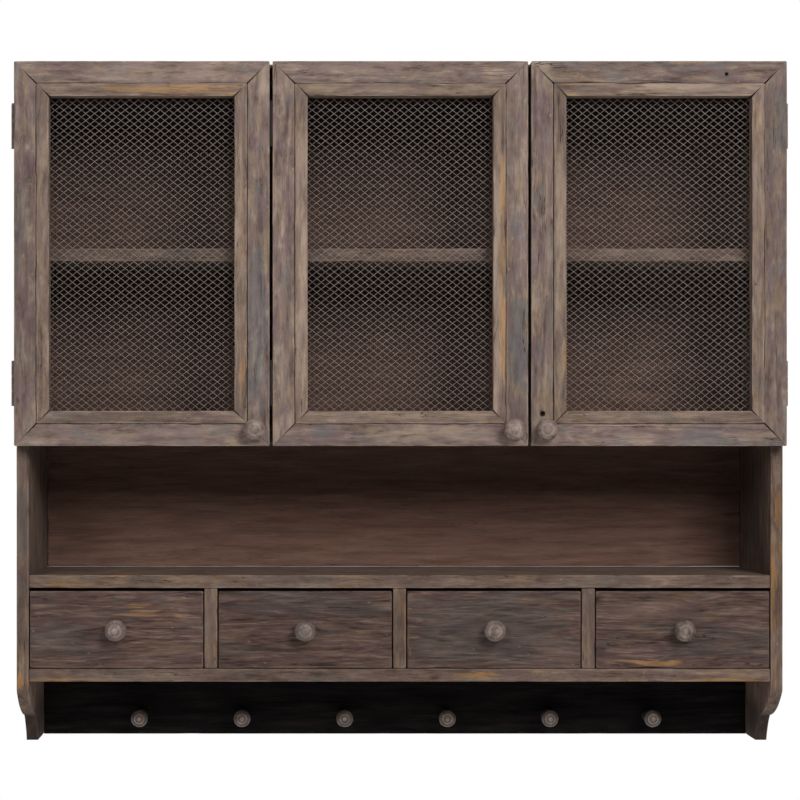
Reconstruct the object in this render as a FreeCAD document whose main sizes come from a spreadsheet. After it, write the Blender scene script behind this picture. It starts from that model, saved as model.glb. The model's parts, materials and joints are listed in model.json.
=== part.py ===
import FreeCAD, Part
import Sketcher
import math
import os

# Rustic wall cabinet: three mesh doors over an open niche, four drawers and a peg rail.
# The wall is the plane Y = 0, the front faces -Y, and the origin lies on the wall, midway
# between the two hanging holes. Every size below is in millimetres.

SIZES = {
    # Case
    "case_width": 860,
    "case_height": 770,
    "case_depth": 180,
    "side_thickness": 14,
    "board_thickness": 15,
    "back_thickness": 8,
    "floor_height": 344,
    "counter_height": 182,
    "deck_height": 77,
    "shelf_height": 549,
    "shelf_setback": 6,
    "shelf_end_gap": 0.4,
    # Ogee foot at the lower front corner of each side
    "foot_height": 67,
    "foot_break_height": 31.5,
    "foot_break_recess": 67,
    "foot_recess": 88,
    "foot_upper_radius": 110,
    "foot_lower_radius": 70,
    # Rails on the wall and the holes through the upper one
    "hanging_hole_height": 735,
    "hanging_hole_spacing": 340,
    "hanging_hole_radius": 3,
    "hanging_rail_height": 40,
    "hanging_rail_thickness": 18,
    "peg_rail_thickness": 30,
    "peg_rail_nail_height": 40,
    # Turned pegs
    "peg_spacing": 120,
    "peg_height": 23,
    "peg_length": 44,
    "peg_foot_radius": 8,
    "peg_neck_radius": 5.5,
    "peg_neck_length": 28,
    "peg_head_radius": 10,
    "peg_head_length": 38,
    "peg_shoulder_radius": 14,
    "peg_tenon_radius": 5,
    "peg_tenon_depth": 14,
    # Doors
    "door_height": 428.5,
    "door_gap": 3,
    "door_thickness": 20,
    "door_standoff": 2.2,
    "frame_width": 25,
    "bead_width": 14.5,
    "bead_proud": 2,
    "bead_thickness": 17,
    "mesh_thickness": 1,
    "mesh_edge_gap": 1,
    "slip_width": 12,
    "slip_thickness": 4,
    "door_knob_inset": 16.5,
    "door_knob_height": 18.5,
    # Turned knobs
    "knob_length": 24,
    "knob_foot_radius": 8,
    "knob_neck_radius": 6,
    "knob_neck_length": 6,
    "knob_head_radius": 12.25,
    "knob_head_length": 14.5,
    "knob_shoulder_radius": 9,
    "knob_tenon_radius": 4,
    "knob_tenon_depth": 12,
    # Hinges of the outer doors
    "hinge_length": 50,
    "hinge_inset": 70,
    "hinge_edge_gap": 0.3,
    "leaf_width": 12,
    "leaf_thickness": 1,
    "knuckle_radius": 2.5,
    "knuckle_gap": 0.3,
    "pin_radius": 1.2,
    "pin_head_radius": 2,
    "pin_head_thickness": 0.8,
    "pin_clearance": 0.06,
    # Slim hinges of the middle door, whose barrels stand in the gap between two doors
    "slim_knuckle_radius": 1.2,
    "slim_pin_radius": 0.6,
    "slim_pin_head_radius": 1.1,
    "slim_leaf_thickness": 0.7,
    "slim_leaf_width": 15,
    "slim_flange_width": 7,
    "slim_axis_depth": 0.9,
    # Screws, nails, shelf pins and catches
    "screw_length": 11,
    "screw_radius": 1.1,
    "screw_head_radius": 2.1,
    "screw_spacing": 34,
    "fastener_clearance": 0.05,
    "nail_length": 42,
    "nail_radius": 1.1,
    "nail_head_radius": 2.4,
    "nail_head_thickness": 1.2,
    "nail_inset": 45,
    "shelf_pin_radius": 4,
    "shelf_pin_seat": 7,
    "shelf_pin_reach": 9,
    "shelf_pin_inset": 30,
    "shelf_pin_gap": 0.1,
    "magnet_width": 36,
    "magnet_height": 13,
    "magnet_depth": 14,
    "magnet_gap": 0.5,
    "striker_width": 28,
    "striker_thickness": 1.2,
    # Drawers
    "drawer_front_height": 86.5,
    "drawer_front_thickness": 15,
    "drawer_edge_gap": 0.9,
    "drawer_floor_gap": 0.4,
    "drawer_side_height": 70,
    "drawer_side_thickness": 10,
    "drawer_bottom_thickness": 4,
    "drawer_bottom_lift": 6,
    "drawer_rear_gap": 12,
}
DRAWERS = 4
PEGS = 6
KNUCKLES = 3

doc = FreeCAD.newDocument("wall_cabinet")
sheet = doc.addObject("Spreadsheet::Sheet", "Sizes")
for row, (alias, length) in enumerate(SIZES.items(), start=1):
    sheet.set(f"A{row}", alias)
    sheet.set(f"B{row}", str(length))
    sheet.setAlias(f"B{row}", alias)
doc.recompute()


class Size:
    """A length of the sheet, or lengths put together, as a formula and as its number."""

    def __init__(self, formula, number):
        self.formula = formula
        self.number = number

    def __add__(self, other):
        other = as_size(other)
        return Size(f"({self.formula} + {other.formula})", self.number + other.number)

    def __sub__(self, other):
        other = as_size(other)
        return Size(f"({self.formula} - {other.formula})", self.number - other.number)

    def __mul__(self, factor):
        return Size(f"({self.formula} * ({factor}))", self.number * factor)

    def __truediv__(self, divisor):
        return Size(f"({self.formula} / {divisor})", self.number / divisor)

    def __neg__(self):
        return Size(f"(0 - {self.formula})", -self.number)


def as_size(length):
    return length if isinstance(length, Size) else Size(f"({length})", length)


def size(alias):
    return Size(f"Sizes.{alias}", float(SIZES[alias]))


ZERO = as_size(0)
DIRECTIONS = {
    "right": FreeCAD.Vector(1, 0, 0),
    "left": FreeCAD.Vector(-1, 0, 0),
    "back": FreeCAD.Vector(0, 1, 0),
    "front": FreeCAD.Vector(0, -1, 0),
    "up": FreeCAD.Vector(0, 0, 1),
    "down": FreeCAD.Vector(0, 0, -1),
}


# Basic shapes

def place(obj, x, y, z, rotation=None):
    """Puts an object's own origin at a point given by formulas."""
    obj.Placement = FreeCAD.Placement(FreeCAD.Vector(), rotation or FreeCAD.Rotation())
    for axis, where in zip("xyz", (x, y, z)):
        obj.setExpression(f"Placement.Base.{axis}", as_size(where).formula)


def block(name, x, y, z):
    """A box between two places along each axis, in either order."""
    box = doc.addObject("Part::Box", name)
    corner = []
    for side, pair in zip(("Length", "Width", "Height"), (x, y, z)):
        low, high = sorted(map(as_size, pair), key=lambda where: where.number)
        box.setExpression(side, (high - low).formula)
        corner.append(low)
    place(box, *corner)
    return box


def rod(name, start, direction, radius, length):
    """A cylinder that runs from its start in one of the six directions."""
    cylinder = doc.addObject("Part::Cylinder", name)
    cylinder.setExpression("Radius", radius.formula)
    cylinder.setExpression("Height", length.formula)
    place(cylinder, *start, FreeCAD.Rotation(DIRECTIONS["up"], DIRECTIONS[direction]))
    return cylinder


def taper(name, start, direction, radius, end_radius, length):
    """A cone that narrows from its start in one of the six directions."""
    cone = doc.addObject("Part::Cone", name)
    cone.setExpression("Radius1", radius.formula)
    cone.setExpression("Radius2", end_radius.formula)
    cone.setExpression("Height", length.formula)
    place(cone, *start, FreeCAD.Rotation(DIRECTIONS["up"], DIRECTIONS[direction]))
    return cone


def group(name, members):
    compound = doc.addObject("Part::Compound", name)
    compound.Links = members
    return compound


def fuse(name, members):
    fused = doc.addObject("Part::MultiFuse", name)
    fused.Shapes = members
    return fused


def cut(name, blank, tools):
    drilled = doc.addObject("Part::Cut", name)
    drilled.Base = blank
    drilled.Tool = group(f"{name}_tools", tools)
    return drilled


nodes = {}


def keep(node, obj):
    """Names a finished piece, or a group of like pieces, for its own file."""
    obj.Label = node
    nodes[node] = obj


# Outlines drawn in a sketch, for the feet and the turned pieces

CROWN = "crown"


def arc_between(start, end, radius, turn):
    """The arc of a radius from start to end that bends left (turn 1) or right (turn -1)."""
    chord = end - start
    reach = math.sqrt(radius ** 2 - chord.Length ** 2 / 4)
    across = FreeCAD.Vector(-chord.y, chord.x, 0).normalize()
    centre = (start + end) / 2 + across * reach * turn
    first, last = (start, end) if turn > 0 else (end, start)
    angles = [math.atan2(point.y - centre.y, point.x - centre.x) for point in (first, last)]
    circle = Part.Circle(centre, FreeCAD.Vector(0, 0, 1), radius)
    return Part.ArcOfCircle(circle, angles[0], angles[1])


def crown_radius(rim, top):
    """The radius of a rounded end that is centred on the turning axis."""
    rise = top.y - rim.y
    return (rise ** 2 + rim.x ** 2) / (2 * rise)


def draw_outline(sketch, corners):
    """A closed outline of corners (x, y, bend), where a bend, (radius, turn) or CROWN, is the next edge's."""
    points = [FreeCAD.Vector(x.number, y.number, 0) for x, y, bend in corners]
    ends = []
    for index, (x, y, bend) in enumerate(corners):
        start = points[index]
        end = points[(index + 1) % len(points)]
        if bend is None:
            sketch.addGeometry(Part.LineSegment(start, end))
            ends.append((1, 2))
        elif bend == CROWN:
            sketch.addGeometry(arc_between(start, end, crown_radius(start, end), 1))
            ends.append((1, 2))
            sketch.addConstraint(Sketcher.Constraint("PointOnObject", index, 3, -2))
        else:
            radius, turn = bend
            sketch.addGeometry(arc_between(start, end, radius.number, turn))
            ends.append((1, 2) if turn > 0 else (2, 1))
            radius_row = sketch.addConstraint(Sketcher.Constraint("Radius", index, radius.number))
            sketch.setExpression(f"Constraints[{radius_row}]", radius.formula)
    for index, (x, y, bend) in enumerate(corners):
        following = (index + 1) % len(corners)
        joint = (index, ends[index][1], following, ends[following][0])
        sketch.addConstraint(Sketcher.Constraint("Coincident", *joint))
        for kind, where in (("DistanceX", x), ("DistanceY", y)):
            from_origin = Sketcher.Constraint(kind, -1, 1, index, ends[index][0], where.number)
            row = sketch.addConstraint(from_origin)
            sketch.setExpression(f"Constraints[{row}]", where.formula)


def sketched_body(name, plane_role, corners):
    body = doc.addObject("PartDesign::Body", name)
    sketch = body.newObject("Sketcher::SketchObject", f"{name}_outline")
    plane = next(part for part in body.Origin.OriginFeatures if part.Role == plane_role)
    sketch.AttachmentSupport = [(plane, "")]
    sketch.MapMode = "FlatFace"
    draw_outline(sketch, corners)
    return body, sketch


def turned(name, corners, x, y, z):
    """A turned piece whose axis points forward and whose seat lies at the given point."""
    body, sketch = sketched_body(name, "XZ_Plane", corners)
    turning = body.newObject("PartDesign::Revolution", f"{name}_turning")
    turning.Profile = sketch
    turning.ReferenceAxis = (sketch, ["V_Axis"])
    turning.Angle = 360
    place(body, x, y, z, FreeCAD.Rotation(DIRECTIONS["up"], DIRECTIONS["front"]))
    return body


# Places that the pieces share

def height(above_feet):
    """A height above the feet as a place along Z."""
    return as_size(above_feet) - size("hanging_hole_height")


board = size("board_thickness")
half_width = size("case_width") / 2
inner_half = half_width - size("side_thickness")
case_front = -size("case_depth")
back_face = -size("back_thickness")
door_back = case_front - size("door_standoff")
door_front = door_back - size("door_thickness")
feet = height(ZERO)
case_top = height(size("case_height"))
top_underside = case_top - board
floor_underside = height(size("floor_height"))
floor_top = floor_underside + board
counter_underside = height(size("counter_height"))
counter_top = counter_underside + board
deck_underside = height(size("deck_height"))
deck_top = deck_underside + board
shelf_underside = height(size("shelf_height"))
shelf_top = shelf_underside + board
hanging_rail_front = back_face - size("hanging_rail_thickness")
hanging_rail_bottom = top_underside - size("hanging_rail_height")
peg_rail_front = back_face - size("peg_rail_thickness")

door_width = (size("case_width") - size("door_gap") * 2) / 3
door_bottom = case_top - size("door_height")
door_pitch = door_width + size("door_gap")
partition_centre = {"left": -door_pitch / 2, "right": door_pitch / 2}
bay_edges = {
    "left": (-inner_half, partition_centre["left"] - board / 2),
    "middle": (partition_centre["left"] + board / 2, partition_centre["right"] - board / 2),
    "right": (partition_centre["right"] + board / 2, inner_half),
}
drawer_opening = (inner_half * 2 - board * (DRAWERS - 1)) / DRAWERS
drawer_left = [-inner_half + (drawer_opening + board) * index for index in range(DRAWERS)]

# Holes drilled in a piece are collected under its name while the fasteners are made.
holes = {}


def drill(node, tool):
    holes.setdefault(node, []).append(tool)


def finish(node, blank):
    """Keeps a piece, cut first by whatever holes were collected for it."""
    if node in holes:
        blank = cut(f"{node}_drilled", blank, holes[node])
    keep(node, blank)


# Fasteners

def screw(name, start, direction, sink):
    """A countersunk screw whose head is as deep as the leaf it holds, and its hole."""
    made = []
    for suffix, spare in (("", ZERO), ("_hole", size("fastener_clearance"))):
        shank = size("screw_radius") + spare
        head_radius = size("screw_head_radius") + spare
        head = taper(f"{name}_head{suffix}", start, direction, head_radius, shank, sink)
        stem = rod(f"{name}_stem{suffix}", start, direction, shank, size("screw_length") + spare)
        made.append(fuse(f"{name}{suffix}", [head, stem]))
    return made


def nail(name, start, direction, pieces):
    """A nail driven flush through one piece into the next, and its hole in both."""
    made = []
    for suffix, spare in (("", ZERO), ("_hole", size("fastener_clearance"))):
        head_radius = size("nail_head_radius") + spare
        head_depth = size("nail_head_thickness") + spare
        head = rod(f"{name}_head{suffix}", start, direction, head_radius, head_depth)
        length = size("nail_length") + spare
        stem = rod(f"{name}_stem{suffix}", start, direction, size("nail_radius") + spare, length)
        made.append(fuse(f"{name}{suffix}", [head, stem]))
    for piece in pieces:
        drill(piece, made[1])
    return made[0]


def make_nails():
    nails = []
    rows = (-size("nail_inset"), case_front + size("nail_inset"))
    for side, direction, edge in (("left", "right", -half_width), ("right", "left", half_width)):
        centre = edge + size("side_thickness") / 2 if side == "left" else edge - size("side_thickness") / 2
        for row, y in enumerate(rows):
            for piece, level in (
                ("cupboard_floor", floor_underside),
                ("counter_shelf", counter_underside),
                ("drawer_floor", deck_underside),
            ):
                start = (edge, y, level + board / 2)
                nails.append(nail(f"nail_{piece}_{side}_{row}", start, direction, [f"side_{side}", piece]))
            start = (centre, y, case_top)
            nails.append(nail(f"nail_top_{side}_{row}", start, "down", ["top_board", f"side_{side}"]))
            start = (partition_centre[side], y, case_top)
            held = ["top_board", f"partition_{side}"]
            nails.append(nail(f"nail_partition_{side}_{row}", start, "down", held))
        start = (edge, (back_face + peg_rail_front) / 2, height(size("peg_rail_nail_height")))
        nails.append(nail(f"nail_peg_rail_{side}", start, direction, [f"side_{side}", "peg_rail"]))
    keep("case_nails", group("case_nails", nails))


# Case

def make_side(side):
    front_corner = case_front + size("foot_recess")
    front_break = case_front + size("foot_break_recess")
    upper_bend = (size("foot_upper_radius"), 1)
    lower_bend = (size("foot_lower_radius"), -1)
    outline = [
        (ZERO, top_underside, None),
        (case_front, top_underside, None),
        (case_front, height(size("foot_height")), upper_bend),
        (front_break, height(size("foot_break_height")), lower_bend),
        (front_corner, feet, None),
        (ZERO, feet, None),
    ]
    body, sketch = sketched_body(f"side_{side}_board", "YZ_Plane", outline)
    pad = body.newObject("PartDesign::Pad", f"side_{side}_pad")
    pad.Profile = sketch
    pad.setExpression("Length", size("side_thickness").formula)
    place(body, -half_width if side == "left" else inner_half, ZERO, ZERO)
    finish(f"side_{side}", body)


def make_boards():
    inside = (-inner_half, inner_half)
    depth = (case_front, back_face)
    over_sides = (-half_width, half_width)
    finish("top_board", block("top_blank", over_sides, (case_front, ZERO), (top_underside, case_top)))
    for node, low, high in (
        ("cupboard_floor", floor_underside, floor_top),
        ("counter_shelf", counter_underside, counter_top),
        ("drawer_floor", deck_underside, deck_top),
    ):
        finish(node, block(f"{node}_blank", inside, depth, (low, high)))
    for side, centre in partition_centre.items():
        upright = (centre - board / 2, centre + board / 2)
        blank = block(f"partition_{side}_blank", upright, depth, (floor_top, top_underside))
        rail_depth = (hanging_rail_front, back_face)
        rail_levels = (hanging_rail_bottom, top_underside)
        drill(f"partition_{side}", block(f"partition_{side}_notch", upright, rail_depth, rail_levels))
        finish(f"partition_{side}", blank)
    for bay, (low, high) in bay_edges.items():
        ends = (low + size("shelf_end_gap"), high - size("shelf_end_gap"))
        set_back = (case_front + size("shelf_setback"), back_face)
        keep(f"shelf_{bay}", block(f"shelf_{bay}_blank", ends, set_back, (shelf_underside, shelf_top)))
    for side, right_edge in zip(("left", "middle", "right"), drawer_left[1:]):
        across = (right_edge - board, right_edge)
        divider = block(f"divider_{side}_blank", across, depth, (deck_top, counter_underside))
        keep(f"drawer_divider_{side}", divider)


def hanging_holes(node):
    depth = size("back_thickness") + size("hanging_rail_thickness")
    for side, factor in (("left", -0.5), ("right", 0.5)):
        start = (size("hanging_hole_spacing") * factor, ZERO, ZERO)
        drill(node, rod(f"{node}_hole_{side}", start, "front", size("hanging_hole_radius"), depth))


def make_wall_boards():
    inside = (-inner_half, inner_half)
    for node in ("back_panel", "hanging_rail"):
        hanging_holes(node)
    finish("back_panel", block("back_blank", inside, (back_face, ZERO), (feet, top_underside)))
    rail_depth = (hanging_rail_front, back_face)
    rail_levels = (hanging_rail_bottom, top_underside)
    finish("hanging_rail", block("hanging_rail_blank", inside, rail_depth, rail_levels))
    finish("peg_rail", block("peg_rail_blank", inside, (peg_rail_front, back_face), (feet, deck_underside)))


def make_shelf_pins():
    pins = []
    level = shelf_underside - size("shelf_pin_radius") - size("shelf_pin_gap")
    length = size("shelf_pin_seat") + size("shelf_pin_reach")
    hole_radius = size("shelf_pin_radius") + size("fastener_clearance")
    rows = (case_front + size("shelf_pin_inset"), back_face - size("shelf_pin_inset"))
    carriers = {
        "left": ("side_left", "partition_left"),
        "middle": ("partition_left", "partition_right"),
        "right": ("partition_right", "side_right"),
    }
    for bay, (low, high) in bay_edges.items():
        starts = (low - size("shelf_pin_seat"), high + size("shelf_pin_seat"))
        for carrier, x, direction in zip(carriers[bay], starts, ("right", "left")):
            for row, y in enumerate(rows):
                name = f"shelf_pin_{bay}_{direction}_{row}"
                start = (x, y, level)
                pins.append(rod(name, start, direction, size("shelf_pin_radius"), length))
                drill(carrier, rod(f"{name}_hole", start, direction, hole_radius, size("shelf_pin_seat")))
    keep("shelf_pins", group("shelf_pins", pins))


def make_pegs():
    tenon = size("peg_tenon_radius")
    outline = [
        (ZERO, -size("peg_tenon_depth"), None),
        (tenon, -size("peg_tenon_depth"), None),
        (tenon, ZERO, None),
        (size("peg_foot_radius"), ZERO, None),
        (size("peg_neck_radius"), size("peg_neck_length"), (size("peg_shoulder_radius"), 1)),
        (size("peg_head_radius"), size("peg_head_length"), CROWN),
        (ZERO, size("peg_length"), None),
    ]
    pegs = []
    level = height(size("peg_height"))
    for index in range(PEGS):
        x = size("peg_spacing") * (index - (PEGS - 1) / 2)
        pegs.append(turned(f"peg_{index + 1}", outline, x, peg_rail_front, level))
        hole_radius = tenon + size("fastener_clearance")
        start = (x, peg_rail_front, level)
        drill("peg_rail", rod(f"peg_hole_{index + 1}", start, "back", hole_radius, size("peg_tenon_depth")))
    keep("pegs", group("pegs", pegs))


def make_knob(node, x, y, z, pieces):
    """A turned knob on a face that looks forward, with its tenon's hole in the pieces behind it."""
    tenon = size("knob_tenon_radius")
    outline = [
        (ZERO, -size("knob_tenon_depth"), None),
        (tenon, -size("knob_tenon_depth"), None),
        (tenon, ZERO, None),
        (size("knob_foot_radius"), ZERO, None),
        (size("knob_neck_radius"), size("knob_neck_length"), (size("knob_shoulder_radius"), 1)),
        (size("knob_head_radius"), size("knob_head_length"), CROWN),
        (ZERO, size("knob_length"), None),
    ]
    keep(node, turned(f"{node}_body", outline, x, y, z))
    hole_radius = tenon + size("fastener_clearance")
    hole = rod(f"{node}_hole", (x, y, z), "back", hole_radius, size("knob_tenon_depth"))
    for piece in pieces:
        drill(piece, hole)


# Hinges

case_leaves = []
hinge_pins = []
case_screws = []
door_hinges = {}


def knuckle_spans(centre):
    """Three knuckles to a hinge: the outer two belong to the case leaf, the middle one to the door's."""
    length = (size("hinge_length") - size("knuckle_gap") * (KNUCKLES - 1)) / KNUCKLES
    bottom = centre - size("hinge_length") / 2
    lows = [bottom + (length + size("knuckle_gap")) * index for index in range(KNUCKLES)]
    spans = [(low, low + length) for low in lows]
    return {"case": (spans[0], spans[2]), "door": (spans[1],)}


def make_leaf(name, plates, neck, axis, radius, bore, spans, screw_holes):
    """One leaf: its plates, and a neck and a knuckle in each of its spans, bored for the pin."""
    members = list(plates)
    for index, (low, high) in enumerate(spans):
        members.append(block(f"{name}_neck_{index}", *neck, (low, high)))
        members.append(rod(f"{name}_knuckle_{index}", (*axis, low), "up", radius, high - low))
    bottom = spans[0][0] - size("knuckle_gap")
    bore_length = size("hinge_length") + size("knuckle_gap") * 2
    bore_tool = rod(f"{name}_bore", (*axis, bottom), "up", bore, bore_length)
    return cut(name, fuse(f"{name}_blank", members), [bore_tool] + screw_holes)


def make_pin(name, axis, centre, radius, head_radius):
    bottom = centre - size("hinge_length") / 2
    stem = rod(f"{name}_stem", (*axis, bottom), "up", radius, size("hinge_length"))
    top = centre + size("hinge_length") / 2
    head = rod(f"{name}_head", (*axis, top), "up", head_radius, size("pin_head_thickness"))
    hinge_pins.append(fuse(name, [stem, head]))


def screw_pair(name, x, y, centre, direction, sink, carrier):
    """Two screws, one over the other, with their holes in the piece that carries the leaf."""
    screws = []
    tools = []
    for index, factor in enumerate((-0.5, 0.5)):
        start = (x, y, centre + size("screw_spacing") * factor)
        made, hole = screw(f"{name}_{index}", start, direction, sink)
        screws.append(made)
        tools.append(hole)
        drill(carrier, hole)
    return screws, tools


def outer_hinge(name, side, centre, door):
    """A butt hinge whose leaves lie between the side's front edge and the door, with its barrel outside."""
    edge = -half_width if side == "left" else half_width
    inward = 1 if side == "left" else -1
    axis_x = edge - (size("knuckle_radius") + size("hinge_edge_gap")) * inward
    axis = (axis_x, case_front - size("door_standoff") / 2)
    across = (edge, edge + size("leaf_width") * inward)
    middle = edge + size("leaf_width") * (inward / 2)
    reach = (centre - size("hinge_length") / 2, centre + size("hinge_length") / 2)
    leaf = size("leaf_thickness")
    bore = size("pin_radius") + size("pin_clearance")
    spans = knuckle_spans(centre)
    layers = {
        "case": (case_front - leaf, case_front, "back", f"side_{side}"),
        "door": (door_back + leaf, door_back, "front", f"{door}_{side}_stile"),
    }
    for owner, (face, seat, direction, carrier) in layers.items():
        leaf_name = f"{name}_{owner}_leaf"
        screws, tools = screw_pair(f"{name}_{owner}_screw", middle, face, centre, direction, leaf, carrier)
        plate = block(f"{leaf_name}_plate", across, (face, seat), reach)
        neck = ((axis_x, edge), (face, seat))
        made = make_leaf(leaf_name, [plate], neck, axis, size("knuckle_radius"), bore, spans[owner], tools)
        store_leaf(owner, door, made, screws)
    make_pin(f"{name}_pin", axis, centre, size("pin_radius"), size("pin_head_radius"))


def slim_hinge(name, centre, door):
    """A hinge with its barrel at the front of the gap, so that the middle door clears its neighbour."""
    axis_x = partition_centre["left"]
    axis = (axis_x, door_front + size("slim_axis_depth"))
    leaf = size("slim_leaf_thickness")
    reach = (centre - size("hinge_length") / 2, centre + size("hinge_length") / 2)
    bore = size("slim_pin_radius") + size("pin_clearance")
    behind_barrel = axis[1] + size("slim_knuckle_radius") + size("hinge_edge_gap")
    spans = knuckle_spans(centre)

    door_edge = axis_x + size("door_gap") / 2
    door_layer = (door_edge - leaf, door_edge)
    screw_y = behind_barrel + size("slim_leaf_width") / 2
    stile = f"{door}_left_stile"
    screws, tools = screw_pair(f"{name}_door_screw", door_layer[0], screw_y, centre, "right", leaf, stile)
    plate_depth = (behind_barrel, behind_barrel + size("slim_leaf_width"))
    plate = block(f"{name}_door_plate", door_layer, plate_depth, reach)
    neck = (door_layer, (axis[1], behind_barrel))
    radius = size("slim_knuckle_radius")
    made = make_leaf(f"{name}_door_leaf", [plate], neck, axis, radius, bore, spans["door"], tools)
    store_leaf("door", door, made, screws)

    case_layer = (axis_x - leaf, axis_x)
    flange_face = case_front - size("leaf_thickness")
    flange_end = case_layer[0] + size("slim_flange_width")
    screw_x = (axis_x + flange_end) / 2
    sink = size("leaf_thickness")
    post = "partition_left"
    screws, tools = screw_pair(f"{name}_case_screw", screw_x, flange_face, centre, "back", sink, post)
    web = block(f"{name}_case_web", case_layer, (behind_barrel, case_front), reach)
    flange = block(f"{name}_case_flange", (case_layer[0], flange_end), (flange_face, case_front), reach)
    neck = (case_layer, (axis[1], behind_barrel))
    made = make_leaf(f"{name}_case_leaf", [web, flange], neck, axis, radius, bore, spans["case"], tools)
    store_leaf("case", door, made, screws)
    make_pin(f"{name}_pin", axis, centre, size("slim_pin_radius"), size("slim_pin_head_radius"))


def store_leaf(owner, door, leaf, screws):
    if owner == "case":
        case_leaves.append(leaf)
        case_screws.extend(screws)
        return
    leaves, door_screws = door_hinges.setdefault(door, ([], []))
    leaves.append(leaf)
    door_screws.extend(screws)


# Doors

def mitred_frame(name, x, z, front, width, thickness):
    """Four mitred members around a rectangle, named by their places."""
    left, right = x
    bottom, top = z
    spans = {
        "top_rail": ((left, top), right - left, 0),
        "right_stile": ((right, top), top - bottom, 90),
        "bottom_rail": ((right, bottom), right - left, 180),
        "left_stile": ((left, bottom), top - bottom, 270),
    }
    lying = FreeCAD.Rotation(FreeCAD.Vector(1, 0, 0), -90)
    members = {}
    for member, ((corner_x, corner_z), length, angle) in spans.items():
        wedge = doc.addObject("Part::Wedge", f"{name}_{member}")
        for face, start, end in (("X", ZERO, length), ("X2", width, length - width)):
            wedge.setExpression(f"{face}min", start.formula)
            wedge.setExpression(f"{face}max", end.formula)
        wedge.setExpression("Ymin", ZERO.formula)
        wedge.setExpression("Ymax", width.formula)
        for face in ("Z", "Z2"):
            wedge.setExpression(f"{face}min", ZERO.formula)
            wedge.setExpression(f"{face}max", thickness.formula)
        turn = FreeCAD.Rotation(FreeCAD.Vector(0, 1, 0), angle)
        place(wedge, corner_x, front, corner_z, turn.multiply(lying))
        members[member] = wedge
    return members


def shrink(pair, margin):
    return (pair[0] + margin, pair[1] - margin)


def make_door(bay, left, hinge_side):
    door = f"door_{bay}"
    across = (left, left + door_width)
    upright = (door_bottom, case_top)
    hinge_centres = {"upper": case_top - size("hinge_inset"), "lower": door_bottom + size("hinge_inset")}
    for row, centre in hinge_centres.items():
        if bay == "middle":
            slim_hinge(f"{door}_{row}_hinge", centre, door)
        else:
            outer_hinge(f"{door}_{row}_hinge", hinge_side, centre, door)
    leaves, screws = door_hinges[door]
    keep(f"{door}_hinge_leaves", group(f"{door}_leaf_group", leaves))
    keep(f"{door}_hinge_screws", group(f"{door}_screw_group", screws))

    free_side = "right" if hinge_side == "left" else "left"
    free_edge = across[1] if free_side == "right" else across[0]
    to_hinge = -1 if free_side == "right" else 1
    knob_x = free_edge + size("door_knob_inset") * to_hinge
    knob_z = door_bottom + size("door_knob_height")
    carriers = [f"{door}_{free_side}_stile", f"{door}_bottom_rail"]
    make_knob(f"{door}_knob", knob_x, door_front, knob_z, carriers)

    section = (size("frame_width"), size("door_thickness"))
    members = mitred_frame(f"{door}_blank", across, upright, door_front, *section)
    frame = []
    for member, blank in members.items():
        tools = holes.get(f"{door}_{member}")
        frame.append(cut(f"{door}_{member}", blank, tools) if tools else blank)
    keep(f"{door}_frame", group(f"{door}_frame_group", frame))

    opening = (shrink(across, size("frame_width")), shrink(upright, size("frame_width")))
    bead_front = door_front - size("bead_proud")
    bead = mitred_frame(f"{door}_bead", *opening, bead_front, size("bead_width"), size("bead_thickness"))
    keep(f"{door}_bead", group(f"{door}_bead_group", list(bead.values())))
    mesh_front = bead_front + size("bead_thickness")
    mesh_back = mesh_front + size("mesh_thickness")
    mesh_edges = [shrink(pair, size("mesh_edge_gap")) for pair in opening]
    keep(f"{door}_mesh", block(f"{door}_mesh_sheet", mesh_edges[0], (mesh_front, mesh_back), mesh_edges[1]))
    slips = mitred_frame(f"{door}_slip", *opening, mesh_back, size("slip_width"), size("slip_thickness"))
    keep(f"{door}_mesh_slips", group(f"{door}_slip_group", list(slips.values())))

    partition, facing = {"left": ("left", -1), "middle": ("right", -1), "right": ("right", 1)}[bay]
    inner_face = partition_centre[partition] + board * (facing / 2)
    catch_centre = inner_face + size("magnet_width") * (facing / 2)
    return make_catch(door, catch_centre)


def make_catch(door, centre):
    """The striker on a door's back, and the magnet under the top board that meets it."""
    levels = (top_underside - size("magnet_height"), top_underside)
    half = size("striker_width") / 2
    striker_face = door_back + size("striker_thickness")
    plate_width = (centre - half, centre + half)
    keep(f"{door}_striker", block(f"{door}_plate", plate_width, (door_back, striker_face), levels))
    magnet_face = striker_face + size("magnet_gap")
    half = size("magnet_width") / 2
    depth = (magnet_face, magnet_face + size("magnet_depth"))
    return block(f"{door}_magnet", (centre - half, centre + half), depth, levels)


def make_doors():
    magnets = []
    for index, (bay, hinge_side) in enumerate((("left", "left"), ("middle", "left"), ("right", "right"))):
        magnets.append(make_door(bay, -half_width + door_pitch * index, hinge_side))
    keep("catch_magnets", group("catch_magnets", magnets))
    keep("hinge_case_leaves", group("hinge_case_leaves", case_leaves))
    keep("hinge_pins", group("hinge_pins", hinge_pins))
    keep("hinge_case_screws", group("hinge_case_screws", case_screws))


# Drawers

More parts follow.
